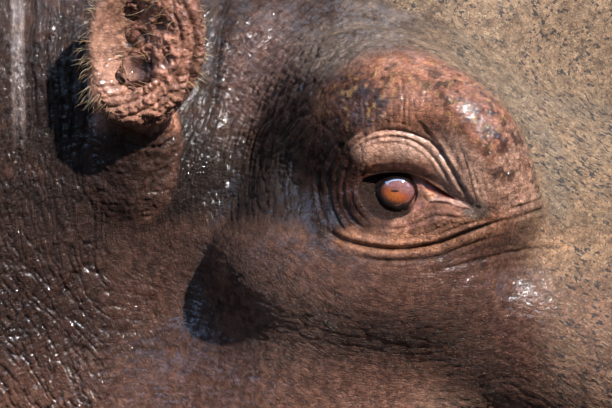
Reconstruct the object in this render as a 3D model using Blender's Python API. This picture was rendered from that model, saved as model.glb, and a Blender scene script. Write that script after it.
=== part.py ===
"""Hippopotamus, standing still, life size. Units are metres, +X towards the muzzle, +Y to the animal's left, +Z up."""

import math

import bmesh
import bpy
import numpy as np
from mathutils import Matrix, Vector

# ------------------------------------------------------------ driving sizes
SHOULDER_HEIGHT = 1.44          # floor to the top of the back
EYE_X, EYE_Z = 1.205, 1.165     # the line through both eyes
EYE_HALF_SPAN = 0.1705          # from the middle of the head to the front of an eye
HEAD_SPREAD = 0.0220            # half the level strip that parts the two rounded sides of the head
EYE_RADIUS = 0.0200             # eyeball
EYE_GAZE = (0.30, 0.86, 0.41)   # forwards, outwards, up
LID_SLIT = (0.0340, 0.0165)     # half length and half height of the opening between the lids
HEAD_TILT = math.radians(3.0)   # muzzle a little below the eyes
EAR_LENGTH, EAR_WIDTH, EAR_DEPTH, EAR_WALL = 0.122, 0.085, 0.034, 0.010
FRONT_X, HIND_X = 0.42, -1.05   # the pairs of legs along the body
FRONT_TRACK, HIND_TRACK = 0.300, 0.285  # half the distance between the feet of a pair
STEP = {("front", 1): -0.045, ("front", -1): 0.045, ("hind", 1): 0.050, ("hind", -1): -0.050}
FOOT_HEIGHT = 0.135             # floor to the joint above the foot
TOE_ANGLES = (-46.0, -15.0, 15.0, 46.0)
NAIL = (0.013, 0.021, 0.020)    # half axes of a toenail: forward, across, up
SEAM = 0.0005                   # air between two neighbouring pieces
BODY_CELL = 0.014               # grid that the rounded masses are worked out on
FLESH_TRIANGLES = 3070
AHEAD_OF_MIDDLE = 0.0840        # how far the point the sizes are measured from lies behind the middle of the animal

# Back, belly and half width of neck and trunk along the animal, with how square the section is.
TRUNK = [
    (-1.52, 1.00, 0.84, 0.10, 2.0),
    (-1.45, 1.17, 0.68, 0.25, 2.1),
    (-1.32, 1.305, 0.56, 0.360, 2.15),
    (-1.08, 1.405, 0.47, 0.440, 2.2),
    (-0.75, 1.448, 0.405, 0.495, 2.2),
    (-0.40, 1.442, 0.365, 0.525, 2.2),
    (-0.05, 1.425, 0.372, 0.520, 2.2),
    (0.25, 1.422, 0.430, 0.475, 2.2),
    (0.46, 1.425, 0.505, 0.415, 2.2),
    (0.64, 1.390, 0.570, 0.362, 2.2),
    (0.80, 1.315, 0.630, 0.285, 2.2),
    (0.96, 1.225, 0.690, 0.190, 2.1),
    (1.08, 1.110, 0.780, 0.095, 2.1),
]
# The same for skull with upper lip, and for the lower jaw, measured from the line through the eyes.
UPPER_HEAD = [
    (-0.30, 0.016, -0.340, 0.130, 2.1),
    (-0.20, 0.034, -0.370, 0.104, 2.1),
    (-0.15, 0.038, -0.365, 0.100, 2.1),
    (-0.10, 0.036, -0.360, 0.150, 2.4),
    (0.00, 0.016, -0.330, 0.156, 2.5),
    (0.10, -0.028, -0.295, 0.136, 2.2),
    (0.20, -0.042, -0.280, 0.145, 2.4),
    (0.30, -0.042, -0.290, 0.178, 2.6),
    (0.38, -0.034, -0.300, 0.205, 2.8),
    (0.46, -0.048, -0.298, 0.208, 2.8),
    (0.52, -0.090, -0.280, 0.182, 2.6),
    (0.555, -0.145, -0.250, 0.120, 2.3),
]
LOWER_JAW = [
    (-0.22, -0.180, -0.430, 0.165, 2.4),
    (-0.12, -0.200, -0.465, 0.185, 2.4),
    (0.00, -0.200, -0.445, 0.168, 2.4),
    (0.12, -0.210, -0.405, 0.140, 2.4),
    (0.24, -0.230, -0.400, 0.145, 2.5),
    (0.36, -0.250, -0.425, 0.172, 2.6),
    (0.44, -0.255, -0.420, 0.168, 2.6),
    (0.50, -0.265, -0.375, 0.130, 2.4),
]
# The line between the lips: distance in front of the eyes, height under them.
MOUTH = [(0.02, -0.190), (0.10, -0.228), (0.20, -0.250), (0.30, -0.278), (0.38, -0.292), (0.46, -0.286), (0.53, -0.272)]
# Middle of the tail and its half thickness, from root to tip.
TAIL = [
    (-1.455, 1.150, 0.070), (-1.520, 1.065, 0.050), (-1.548, 0.940, 0.040),
    (-1.556, 0.840, 0.031), (-1.556, 0.750, 0.022),
]


# ------------------------------------------------------------ rounded masses
def smooth_join(a, b, k):
    h = np.clip(0.5 + 0.5 * (b - a) / k, 0.0, 1.0)
    return b + (a - b) * h - k * h * (1.0 - h)


def smooth_cut(a, b, k):
    return -smooth_join(-a, b, k)


def turned(rx=0.0, ry=0.0, rz=0.0):
    """Rotation by degrees about X, then Y, then Z."""
    a, b, c = (math.radians(v) for v in (rx, ry, rz))
    X = np.array([[1, 0, 0], [0, math.cos(a), -math.sin(a)], [0, math.sin(a), math.cos(a)]])
    Y = np.array([[math.cos(b), 0, math.sin(b)], [0, 1, 0], [-math.sin(b), 0, math.cos(b)]])
    Z = np.array([[math.cos(c), -math.sin(c), 0], [math.sin(c), math.cos(c), 0], [0, 0, 1]])
    return Z @ Y @ X


def hermite(x, xs, ys):
    """Smooth curve through the stations (xs, ys), level beyond the ends."""
    xs, ys = np.asarray(xs, float), np.asarray(ys, float)
    m = np.gradient(ys, xs)
    x = np.clip(x, xs[0], xs[-1])
    i = np.clip(np.searchsorted(xs, x) - 1, 0, len(xs) - 2)
    h = xs[i + 1] - xs[i]
    t = (x - xs[i]) / h
    t2, t3 = t * t, t * t * t
    return ((2 * t3 - 3 * t2 + 1) * ys[i] + (t3 - 2 * t2 + t) * h * m[i]
            + (-2 * t3 + 3 * t2) * ys[i + 1] + (t3 - t2) * h * m[i + 1])


def egg(p, centre, radii):
    """Signed distance, near the surface, of an ellipsoid."""
    r = np.array(radii, float)
    q = p - np.array(centre, float)
    a = np.sqrt(((q / r) ** 2).sum(1)) + 1e-9
    b = np.sqrt(((q / (r * r)) ** 2).sum(1)) + 1e-9
    return a * (a - 1.0) / b


class Flesh:
    """A solid as a signed field, negative inside: rounded masses that run into each other."""

    def __init__(self, points, near=0.10, far=0.5):
        self.p = points
        self.d = np.full(len(points), far)
        self.near = near

    def _pick(self, lo, hi, k):
        m = k + self.near
        p = self.p
        return np.flatnonzero(
            (p[:, 0] > lo[0] - m) & (p[:, 0] < hi[0] + m)
            & (p[:, 1] > lo[1] - m) & (p[:, 1] < hi[1] + m)
            & (p[:, 2] > lo[2] - m) & (p[:, 2] < hi[2] + m)
        )

    def _merge(self, i, d, k, cut=False):
        self.d[i] = smooth_cut(self.d[i], d, k) if cut else smooth_join(self.d[i], d, k)

    def mass(self, centre, radii, k=0.03, rx=0.0, ry=0.0, rz=0.0, cut=False):
        c, r, R = np.array(centre, float), np.array(radii, float), turned(rx, ry, rz)
        reach = np.abs(R) @ r
        i = self._pick(c - reach, c + reach, k)
        if len(i):
            self._merge(i, egg((self.p[i] - c) @ R, (0, 0, 0), r), k, cut)

    def limb(self, a, b, ra, rb, k=0.03, flat=1.0, cut=False):
        """Tapered rod with round ends from a to b; flat < 1 thins it from side to side."""
        a, b = np.array(a, float), np.array(b, float)
        big = max(ra, rb)
        i = self._pick(np.minimum(a, b) - big, np.maximum(a, b) + big, k)
        if len(i):
            p, ab = self.p[i] - a, b - a
            if flat != 1.0:
                n = np.array((0.0, 1.0, 0.0)) - ab * (ab[1] / (ab @ ab))
                n /= np.linalg.norm(n)
                p = p + np.outer((p @ n) * (1.0 / flat - 1.0), n)
            t = np.clip((p @ ab) / (ab @ ab), 0.0, 1.0)
            t = t * t * (3 - 2 * t) * 0.5 + t * 0.5
            d = np.linalg.norm(p - t[:, None] * ab, axis=1) - (ra + (rb - ra) * t)
            self._merge(i, d * min(1.0, flat ** 0.5), k, cut)

    def loft(self, stations, k=0.03):
        """Body of rounded sections along X: x, top, bottom, half width, squareness."""
        s = np.array(stations, float)
        lo = np.array([s[0, 0], -s[:, 3].max(), s[:, 2].min()])
        hi = np.array([s[-1, 0], s[:, 3].max(), s[:, 1].max()])
        i = self._pick(lo - 0.05, hi + 0.05, k)
        if len(i):
            x = self.p[i, 0]
            top, low, w, n = (hermite(x, s[:, 0], s[:, c]) for c in (1, 2, 3, 4))
            y, z, h = self.p[i, 1], self.p[i, 2] - (top + low) / 2, (top - low) / 2
            r = (np.abs(y / w) ** n + np.abs(z / h) ** n) ** (1.0 / n) + 1e-9
            d = np.sqrt(y * y + z * z) * (1.0 - 1.0 / r)
            d = np.where(r < 0.35, -0.65 * np.minimum(w, h), d)
            past = np.maximum(s[0, 0] - x, x - s[-1, 0])
            self._merge(i, np.where(past > -0.06, smooth_cut(d, -past, 0.06), d), k)


# ------------------------------------------------------------ head
def to_head(points):
    """From the animal's frame to the head's: origin on the line through the eyes, +X along the muzzle."""
    c, s = math.cos(HEAD_TILT), math.sin(HEAD_TILT)
    x, z = points[:, 0] - EYE_X, points[:, 2] - EYE_Z
    return np.stack([c * x - s * z, points[:, 1], s * x + c * z], 1)


def from_head(p):
    c, s = math.cos(HEAD_TILT), math.sin(HEAD_TILT)
    return Vector((EYE_X + c * p[0] + s * p[2], p[1], EYE_Z - s * p[0] + c * p[2]))


def unit(v):
    v = np.array(v, float)
    return v / np.linalg.norm(v)


def head_masses(f):
    """One half of the head; the other half is its mirror image."""
    f.loft(UPPER_HEAD, k=0.07)
    f.loft(LOWER_JAW, k=0.045)
    # jaw muscle and jaw angle
    f.mass((-0.060, 0.136, -0.262), (0.120, 0.085, 0.150), k=0.04, ry=8)
    f.mass((-0.150, 0.130, -0.335), (0.110, 0.090, 0.125), k=0.05)
    # cheek bone, behind and before the eye
    f.mass((-0.034, 0.139, -0.080), (0.104, 0.046, 0.046), k=0.045, ry=-6)
    f.mass((0.085, 0.102, -0.118), (0.100, 0.036, 0.042), k=0.04, ry=12)
    # dome that carries the eye
    f.mass((0.006, 0.107, 0.010), (0.074, 0.052, 0.067), k=0.040)
    f.mass((-0.045, 0.064, 0.024), (0.062, 0.052, 0.046), k=0.05)
    f.mass((0.034, 0.098, -0.020), (0.050, 0.036, 0.036), k=0.030)
    # seat of the ear
    f.mass((-0.207, 0.078, -0.066), (0.050, 0.042, 0.048), k=0.05)
    # upper lip over the tusks
    f.mass((0.370, 0.180, -0.185), (0.100, 0.066, 0.115), k=0.05)
    f.mass((0.465, 0.120, -0.185), (0.085, 0.095, 0.100), k=0.05)
    f.mass((0.290, 0.150, -0.240), (0.085, 0.048, 0.050), k=0.04)
    # nostril mounds
    f.mass((0.440, 0.096, -0.034), (0.064, 0.046, 0.040), k=0.04, rz=-14)
    # chin
    f.mass((0.400, 0.060, -0.350), (0.090, 0.115, 0.072), k=0.04)


EAR_MIDDLE = np.array((-0.205, 0.124, 0.058))
EAR_UP = unit((-0.06, -0.30, 1.0))
EAR_OUT = np.array((0.42, 0.91, -0.02))
EAR_OUT = unit(EAR_OUT - EAR_UP * (EAR_OUT @ EAR_UP))
EAR_AXES = np.stack([np.cross(EAR_OUT, EAR_UP), EAR_OUT, EAR_UP], 1)


def ear_piece(side, grow=0.0, around=14):
    """Cup of the ear, standing on a stalk that is rooted in the head; all of it larger by grow."""
    w, l, d, t = EAR_WIDTH / 2 + grow, EAR_LENGTH / 2 + grow, EAR_DEPTH + grow, EAR_WALL + 2 * grow
    rings = [(math.sin(a), -d * math.cos(a), 0.0) for a in np.radians((30, 60, 88, 108))]
    rings.append((math.sin(math.radians(104)), d * 0.42, t / 2))
    rings += [(math.sin(a), 0.004 - (d - t * 0.9) * math.cos(a), t) for a in np.radians((98, 70, 36))]
    points = [(0.0, -d, 0.0)]
    for s, out, inset in rings:
        for i in range(around):
            a = math.tau * i / around
            points.append(((w - inset) * s * math.cos(a), out, (l - inset) * s * math.sin(a)))
    points.append((0.0, 0.004 - (d - t * 0.9), 0.0))
    faces = [(0, 1 + i, 1 + (i + 1) % around) for i in range(around)]
    for k in range(len(rings) - 1):
        r, q = 1 + k * around, 1 + (k + 1) * around
        faces += [(r + i, q + i, q + (i + 1) % around, r + (i + 1) % around) for i in range(around)]
    r = 1 + (len(rings) - 1) * around
    faces += [(r + i, len(points) - 1, r + (i + 1) % around) for i in range(around)]

    def placed(p):
        h = EAR_MIDDLE + EAR_AXES @ np.array(p)
        return from_head((h[0], side * (h[1] + HEAD_SPREAD), h[2]))

    ear = new_object(f"ear_{side}", [placed(p) for p in points], faces if side < 0 else [f[::-1] for f in faces])
    levels = [(z - (grow if z < -0.1 else 0.0), r + grow) for z, r in ((-0.124, 0.027), (-0.090, 0.025), (-0.062, 0.022), (-0.036, 0.016))]
    points = [((r * math.cos(math.tau * i / 10), 0.30 * z - 0.008 + r * 0.9 * math.sin(math.tau * i / 10), z)) for z, r in levels for i in range(10)]
    faces = [(k * 10 + i, k * 10 + (i + 1) % 10, k * 10 + 10 + (i + 1) % 10, k * 10 + 10 + i) for k in range(len(levels) - 1) for i in range(10)]
    faces += [tuple(reversed(range(10))), tuple(len(points) - 10 + i for i in range(10))]
    stalk = new_object("stalk", [placed(p) for p in points], faces if side > 0 else [f[::-1] for f in faces])
    return boolean(ear, stalk, "UNION", keep=False)


# ------------------------------------------------------------ legs and tail
def leg_points(which, side):
    """Named joints of one leg, from shoulder or hip down to the foot, and its half thicknesses."""
    d = STEP[(which, side)]
    if which == "front":
        return {
            "top": (FRONT_X + 0.06, side * 0.250, 0.980),
            "mid": (FRONT_X - 0.055 + 0.4 * d, side * FRONT_TRACK, 0.600),
            "low": (FRONT_X + 0.005 + 0.8 * d, side * (FRONT_TRACK - 0.005), 0.235),
            "foot": (FRONT_X + 0.030 + d, side * FRONT_TRACK, 0.062),
            "r": (0.185, 0.150, 0.107, 0.113),
        }
    return {
        "top": (HIND_X, side * 0.240, 0.930),
        "mid": (HIND_X + 0.12 + 0.4 * d, side * (HIND_TRACK + 0.010), 0.600),
        "low": (HIND_X - 0.045 + 0.8 * d, side * HIND_TRACK, 0.290),
        "foot": (HIND_X + 0.015 + d, side * (HIND_TRACK + 0.005), 0.062),
        "r": (0.225, 0.162, 0.108, 0.107),
    }


def toe(which, side, i):
    """Where toe i, counted from the outer one, stands, and its heading."""
    foot = leg_points(which, side)["foot"]
    a = side * math.radians(8.0 - TOE_ANGLES[i])
    way = np.array((math.cos(a), math.sin(a), 0.0))
    return np.array((foot[0], foot[1], 0.0)) + way * (0.120 if i in (1, 2) else 0.104), way


def leg_masses(f, which, side):
    L = leg_points(which, side)
    r = L["r"]
    top, mid, low, foot = (np.array(L[n]) for n in ("top", "mid", "low", "foot"))
    if which == "front":
        f.mass(top + (0.0, side * 0.02, -0.02), (0.210, 0.170, 0.350), k=0.10, ry=6)
        f.limb(top + (0, 0, -0.1), mid, r[0], r[1], k=0.09, flat=0.92)
        f.limb(mid, low, r[1], r[2], k=0.06)
        f.mass(mid + (-0.085, side * 0.01, 0.01), (0.085, 0.085, 0.10), k=0.07)
    else:
        f.mass(top + (0.02, side * 0.03, -0.04), (0.305, 0.185, 0.380), k=0.11, ry=-14)
        f.limb(top + (0.04, 0, -0.12), mid, r[0] * 0.92, r[1], k=0.10, flat=0.92)
        f.limb(mid, low, r[1], r[2], k=0.07)
        f.mass(low + (-0.045, 0, 0.03), (0.065, 0.062, 0.085), k=0.05)
        f.mass(mid + (0.09, 0, 0.02), (0.115, 0.100, 0.150), k=0.09)
    f.limb(low, foot, r[2], r[3], k=0.04)
    f.mass((foot[0] + 0.008, foot[1], 0.040), (0.116, 0.112, 0.074), k=0.035)
    f.mass((foot[0] - 0.055, foot[1], 0.042), (0.075, 0.085, 0.068), k=0.03)
    for i in range(4):
        tip, way = toe(which, side, i)
        f.limb(tip - way * 0.085 + (0, 0, 0.056), tip + (0, 0, 0.032), 0.043, 0.036, k=0.010)


def flesh(points):
    """The whole animal but for its ears."""
    f = Flesh(points)
    f.loft(TRUNK, k=0.05)
    f.mass((-0.36, 0.0, 0.775), (0.80, 0.530, 0.420), k=0.12)
    f.mass((0.52, 0.0, 0.79), (0.28, 0.29, 0.27), k=0.12)
    f.mass((0.90, 0.0, 0.885), (0.24, 0.240, 0.180), k=0.10)
    for side in (1, -1):
        leg_masses(f, "front", side)
        leg_masses(f, "hind", side)
    for a, b in zip(TAIL, TAIL[1:]):
        f.limb((a[0], 0, a[1]), (b[0], 0, b[1]), a[2], b[2], k=0.02, flat=0.72)
    h = to_head(points)
    h[:, 1] = np.maximum(np.abs(h[:, 1]) - HEAD_SPREAD, 0.0)
    near = np.flatnonzero((h[:, 0] > -0.55) & (h[:, 0] < 0.75) & (h[:, 1] < 0.5) & (np.abs(h[:, 2] + 0.15) < 0.5))
    if len(near):
        g = Flesh(h[near])
        head_masses(g)
        f.d[near] = smooth_join(f.d[near], g.d, 0.09)
    return f.d


# ------------------------------------------------------------ from field to mesh
def sampled(field, lo, hi, cell, block=8):
    """The field on a grid of this cell, worked out only near the surface."""
    lo, hi = np.array(lo, float), np.array(hi, float)
    n = np.ceil((hi - lo) / cell / block).astype(int) * block + 1
    coarse = [lo[i] + cell * np.arange(n[i])[::block] for i in range(3)]
    d = field(np.stack(np.meshgrid(*coarse, indexing="ij"), -1).reshape(-1, 3)).reshape([len(a) for a in coarse])
    shape = [len(a) - 1 for a in coarse]
    near, some, every = np.zeros(shape, bool), np.zeros(shape, bool), np.ones(shape, bool)
    for i in range(8):
        sl = tuple(slice(i >> a & 1, (i >> a & 1) + shape[a]) for a in range(3))
        near |= np.abs(d[sl]) < block * cell * 1.9
        some |= d[sl] < 0
        every &= d[sl] < 0
    near |= some & ~every
    grid = np.where(d < 0, -1.0, 1.0)
    for a in range(3):
        grid = np.repeat(grid, block, a)
    grid = grid[: n[0], : n[1], : n[2]].astype(np.float32)
    need = np.zeros(n, bool)
    for i, j, k in np.argwhere(near) * block:
        need[i:i + block + 1, j:j + block + 1, k:k + block + 1] = True
    points = lo + np.argwhere(need) * cell
    grid[need] = np.concatenate([field(points[s:s + 400000]) for s in range(0, len(points), 400000)])
    return grid


def netted(grid, lo, cell):
    """Points and four-sided faces of the zero surface, facing out."""
    inside = grid < 0
    cells = tuple(s - 1 for s in grid.shape)
    count, total = np.zeros(cells, np.int32), np.zeros(cells + (3,), np.float64)
    crossings = []
    for a in range(3):
        lower, upper = [slice(None)] * 3, [slice(None)] * 3
        lower[a], upper[a] = slice(0, -1), slice(1, None)
        lower, upper = tuple(lower), tuple(upper)
        cross = inside[lower] != inside[upper]
        at = np.argwhere(cross)
        p = at.astype(float)
        p[:, a] += grid[lower][cross] / (grid[lower][cross] - grid[upper][cross])
        b, c = (a + 1) % 3, (a + 2) % 3
        for db in (0, -1):
            for dc in (0, -1):
                ci = at.copy()
                ci[:, b] += db
                ci[:, c] += dc
                ok = (ci >= 0).all(1) & (ci < cells).all(1)
                np.add.at(count, tuple(ci[ok].T), 1)
                np.add.at(total, tuple(ci[ok].T), p[ok])
        crossings.append((b, c, at, inside[lower][cross]))
    index = np.full(cells, -1)
    index[count > 0] = np.arange((count > 0).sum())
    points = np.array(lo) + total[count > 0] / count[count > 0][:, None] * cell
    faces = []
    for b, c, at, solid in crossings:
        ok = (at[:, b] > 0) & (at[:, c] > 0) & (at[:, b] < cells[b]) & (at[:, c] < cells[c])
        at, solid = at[ok], solid[ok]
        ring = []
        for db, dc in ((-1, -1), (0, -1), (0, 0), (-1, 0)):
            ci = at.copy()
            ci[:, b] += db
            ci[:, c] += dc
            ring.append(index[tuple(ci.T)])
        ring = np.stack(ring, 1)
        faces.append(np.where(solid[:, None], ring, ring[:, ::-1]))
    return points, np.concatenate(faces)


def new_object(name, points, faces):
    mesh = bpy.data.meshes.new(name)
    mesh.from_pydata([tuple(map(float, p)) for p in points], [], [tuple(map(int, f)) for f in faces])
    mesh.update()
    obj = bpy.data.objects.new(name, mesh)
    bpy.context.scene.collection.objects.link(obj)
    return obj


def settle(obj):
    """Makes the object's modifiers part of its mesh."""
    bpy.context.view_layer.update()
    mesh = bpy.data.meshes.new_from_object(obj.evaluated_get(bpy.context.evaluated_depsgraph_get()))
    obj.modifiers.clear()
    old, obj.data = obj.data, mesh
    bpy.data.meshes.remove(old)
    return obj


def facet(obj, triangles, name, protect=None):
    """Reduces the mesh to about this many triangles."""
    mod = obj.modifiers.new(name, "DECIMATE")
    mod.ratio = triangles / sum(len(p.vertices) - 2 for p in obj.data.polygons)
    if protect is not None:
        group = obj.vertex_groups.new(name="coarse")
        for v in obj.data.vertices:
            group.add([v.index], protect(v.co), "REPLACE")
        mod.vertex_group = "coarse"
        mod.vertex_group_factor = 1.0
    return settle(obj)


def boolean(obj, other, kind, keep=True):
    mod = obj.modifiers.new("cut", "BOOLEAN")
    mod.operation, mod.solver, mod.object = kind, "EXACT", other
    settle(obj)
    if not keep:
        bpy.data.objects.remove(other)
    return obj


def ball(name, centre, radii, axes=None, rings=8, segments=12):
    """Low ellipsoid: half axes along the columns of axes."""
    bm = bmesh.new()
    bmesh.ops.create_uvsphere(bm, u_segments=segments, v_segments=rings, radius=1.0)
    m = Matrix.Translation(Vector(centre))
    if axes is not None:
        m = m @ Matrix([list(map(float, row)) for row in axes]).to_4x4()
    bmesh.ops.transform(bm, matrix=m @ Matrix.Diagonal((*radii, 1.0)), verts=bm.verts)
    mesh = bpy.data.meshes.new(name)
    bm.to_mesh(mesh)
    bm.free()
    obj = bpy.data.objects.new(name, mesh)
    bpy.context.scene.collection.objects.link(obj)
    return obj


def turned_stack(name, levels, sides=14):
    """Closed tube through levels of (centre, half axis along X, half axis along Y)."""
    points, faces = [], []
    for c, rx, ry in levels:
        for i in range(sides):
            a = math.tau * (i + 0.5) / sides
            points.append((c[0] + rx * math.cos(a), c[1] + ry * math.sin(a), c[2]))
    for l in range(len(levels) - 1):
        for i in range(sides):
            j = (i + 1) % sides
            faces.append((l * sides + i, l * sides + j, (l + 1) * sides + j))
            faces.append((l * sides + i, (l + 1) * sides + j, (l + 1) * sides + i))
    faces.append(tuple(reversed(range(sides))))
    faces.append(tuple((len(levels) - 1) * sides + i for i in range(sides)))
    return new_object(name, points, faces)


def slab(name, outline, half_width, middle=0.0):
    """Closed prism across the animal over an outline in its middle plane, anticlockwise seen from its right."""
    n = len(outline)
    points = [(x, middle - half_width, z) for x, z in outline] + [(x, middle + half_width, z) for x, z in outline]
    faces = [tuple(range(n)), tuple(reversed(range(n, 2 * n)))]
    faces += [((i + 1) % n, i, i + n, (i + 1) % n + n) for i in range(n)]
    return new_object(name, points, faces)


def copy_of(obj, name):
    other = bpy.data.objects.new(name, obj.data.copy())
    bpy.context.scene.collection.objects.link(other)
    return other


def without_crumbs(obj):
    """Keeps the largest connected body of the mesh."""
    bm = bmesh.new()
    bm.from_mesh(obj.data)
    seen, bodies = set(), []
    for start in bm.verts:
        if start in seen:
            continue
        seen.add(start)
        body, edge = [start], [start]
        while edge:
            v = edge.pop()
            for e in v.link_edges:
                other = e.other_vert(v)
                if other not in seen:
                    seen.add(other)
                    body.append(other)
                    edge.append(other)
        bodies.append(body)
    bodies.sort(key=len)
    for body in bodies[:-1]:
        bmesh.ops.delete(bm, geom=body, context="VERTS")
    bm.to_mesh(obj.data)
    bm.free()
    return obj


def part_off(body, name, cutter):
    """Moves what lies inside the cutter from the body to a new piece; cutter(grow) builds it."""
    piece = copy_of(body, name)
    boolean(piece, cutter(0.0), "INTERSECT", keep=False)
    boolean(body, cutter(SEAM), "DIFFERENCE", keep=False)
    return piece


# ------------------------------------------------------------ the animal
for old in list(bpy.data.objects):
    bpy.data.objects.remove(old)

MATERIALS = {
    "hide": ((0.23, 0.15, 0.12), 0.55),
    "ear_hide": ((0.38, 0.23, 0.18), 0.50),
    "eyeball": ((0.30, 0.12, 0.05), 0.08),
    "toenail": ((0.13, 0.10, 0.08), 0.40),
}


def dressed(obj, slot):
    """Gives the piece its own material."""
    colour, rough = MATERIALS[slot]
    mat = bpy.data.materials.new(f"{obj.name}_{slot}")
    mat.use_nodes = True
    node = next(n for n in mat.node_tree.nodes if n.type == "BSDF_PRINCIPLED")
    node.inputs["Base Color"].default_value = (*colour, 1.0)
    node.inputs["Roughness"].default_value = rough
    obj.data.materials.clear()
    obj.data.materials.append(mat)
    return obj


LOW, HIGH = (-1.72, -0.72, -0.10), (1.88, 0.72, 1.60)
trunk = new_object("trunk", *netted(sampled(flesh, LOW, HIGH, BODY_CELL), LOW, BODY_CELL))


def coarseness(p):
    """How freely the surface may be simplified: little on the head, freely on the barrel."""
    head = min(1.0, max(0.0, (p.x - 0.95) / 0.25))
    foot = min(1.0, max(0.0, (0.30 - p.z) / 0.15)) * 0.9
    return 1.0 - 0.62 * max(head, foot)


facet(trunk, FLESH_TRIANGLES, "fewer", coarseness)
floor = slab("floor", [(-3, -1), (3, -1), (3, 0), (-3, 0)], 2.0)
boolean(trunk, floor, "DIFFERENCE", keep=False)

pieces = []

# feet and legs
for which in ("front", "hind"):
    for side, word in ((1, "left"), (-1, "right")):
        L = leg_points(which, side)
        foot, low, mid = L["foot"], L["low"], L["mid"]
        reach, depth = (0.205, 0.165) if which == "front" else (0.225, 0.175)
        crown = 0.86 if which == "front" else 0.90

        def cutter(grow):
            y = lambda v: side * v
            levels = [
                ((foot[0] + 0.01, y(0.325), -0.2), 0.190, 0.190), ((foot[0] + 0.01, y(0.325), 0.22), 0.190, 0.185),
                ((mid[0] + 0.01, y(0.345), 0.42), reach, depth + 0.015), ((mid[0] + 0.01, y(0.360), 0.60), reach, depth + 0.020),
                ((mid[0] + 0.02, y(0.385), crown - 0.12), reach * 0.82, depth * 0.95), ((mid[0] + 0.03, y(0.410), crown), reach * 0.42, depth * 0.50),
            ]
            return turned_stack("cutter", [(c, a + grow, b + grow) for c, a, b in levels[:-1]]
                                + [((levels[-1][0][0], levels[-1][0][1], crown + grow), levels[-1][1] + grow, levels[-1][2] + grow)])

        leg = part_off(trunk, f"leg_{which}_{word}", cutter)

        def under(grow):
            z = FOOT_HEIGHT + grow
            return slab("cutter", [(foot[0] - 0.5, -0.5), (foot[0] + 0.5, -0.5), (foot[0] + 0.5, z), (foot[0] - 0.5, z)], 0.4, foot[1])

        shoe = part_off(leg, f"foot_{which}_{word}", under)
        for i in range(4):
            tip, way = toe(which, side, i)
            lean = math.radians(24.0)
            up = np.array((-way[0] * math.sin(lean), -way[1] * math.sin(lean), math.cos(lean)))
            across = np.cross(up, way)
            across /= np.linalg.norm(across)
            axes = np.stack([np.cross(across, up), across, up], 1)
            at = tip + way * 0.0290 + (0, 0, 0.036)
            nail = ball(f"nail_{which}_{word}_{i + 1}", at, NAIL, axes, rings=4, segments=7)
            socket = ball("cutter", at, [v + SEAM for v in NAIL], axes, rings=4, segments=7)
            boolean(shoe, socket, "DIFFERENCE", keep=False)
            pieces.append(dressed(nail, "toenail"))
        pieces += [dressed(leg, "hide"), dressed(without_crumbs(shoe), "hide")]


def along_tail(grow):
    (x0, z0, r0), (x1, z1, r1) = TAIL[0], TAIL[-1]
    levels = [((x1 - 0.01, 0, 0.60), 0.085, 0.075), ((-1.552, 0, 0.95), 0.075, 0.075),
              ((-1.545, 0, 1.05), 0.082, 0.080), ((-1.515, 0, 1.14), 0.080, 0.080), ((-1.500, 0, 1.175), 0.050, 0.055)]
    return turned_stack("cutter", [((c[0], 0, c[2] + (grow if n == 4 else 0)), a + grow, b + grow) for n, (c, a, b) in enumerate(levels)], 12)


pieces.append(dressed(part_off(trunk, "tail", along_tail), "hide"))


def ahead_of(points):
    """Cutter holding all that lies in front of a bent line through these points, from the top down."""
    def cutter(grow):
        line = [(x - grow, z) for x, z in points]
        return slab("cutter", [(line[-1][0], -0.5), (3.0, -0.5), (3.0, 2.0), (line[0][0], 2.0)] + line, 1.5)
    return cutter


neck = part_off(trunk, "neck", ahead_of([(0.600, 1.55), (0.585, 1.20), (0.600, 0.90), (0.660, 0.60), (0.700, 0.45)]))
head = part_off(neck, "head", ahead_of([(0.900, 1.55), (0.915, 1.20), (0.900, 0.95), (0.905, 0.75), (0.930, 0.55)]))


def jaw_region(grow):
    line = [from_head((x, 0, z + grow)) for x, z in reversed(MOUTH)]
    corner = from_head((-0.045 - grow, 0, -0.235))
    back = from_head((-0.080 - grow, 0, -0.62))
    outline = [(back.x, back.z), (2.2, 0.3), (2.2, line[0].z)] + [(p.x, p.z) for p in line] + [(corner.x, corner.z)]
    return slab("cutter", outline, 0.6)


jaw = part_off(head, "lower_jaw", jaw_region)

for side, word in ((1, "left"), (-1, "right")):
    ear = ear_piece(side)
    ear.name = f"ear_{word}"
    boolean(head, ear_piece(side, SEAM), "DIFFERENCE", keep=False)
    gaze = unit((EYE_GAZE[0], side * EYE_GAZE[1], EYE_GAZE[2]))
    front = np.array((EYE_X, side * EYE_HALF_SPAN, EYE_Z))
    at = front - gaze * EYE_RADIUS
    slit = unit(np.cross(gaze, (-0.30, 0.0, 1.0)) * side)
    axes = np.stack([slit, np.cross(gaze, slit), gaze], 1)
    if np.linalg.det(axes) < 0:
        axes[:, 1] *= -1
    opening = ball("cutter", front + gaze * 0.004 + slit * 0.010, (LID_SLIT[0], LID_SLIT[1], 0.030), axes, rings=6, segments=12)
    boolean(head, opening, "DIFFERENCE", keep=False)
    socket = ball("cutter", at, [EYE_RADIUS + SEAM] * 3, axes @ turned(0, 0, 11.0), rings=8, segments=14)
    boolean(head, socket, "DIFFERENCE", keep=False)
    eye = ball(f"eye_{word}", at, [EYE_RADIUS] * 3, axes @ turned(0, 0, 11.0), rings=8, segments=14)
    # nostril slit
    nose = from_head((0.452, side * (0.100 + HEAD_SPREAD), 0.004))
    slot = unit((0.75, side * -0.62, 0.05))
    side_way = unit(np.cross(slot, (0.25, side * 0.10, 1.0)))
    nostril = ball("cutter", nose, (0.024, 0.0085, 0.026), np.stack([slot, side_way, np.cross(slot, side_way)], 1), rings=6, segments=10)
    boolean(head, nostril, "DIFFERENCE", keep=False)
    pieces += [dressed(ear, "ear_hide"), dressed(eye, "eyeball")]

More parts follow.
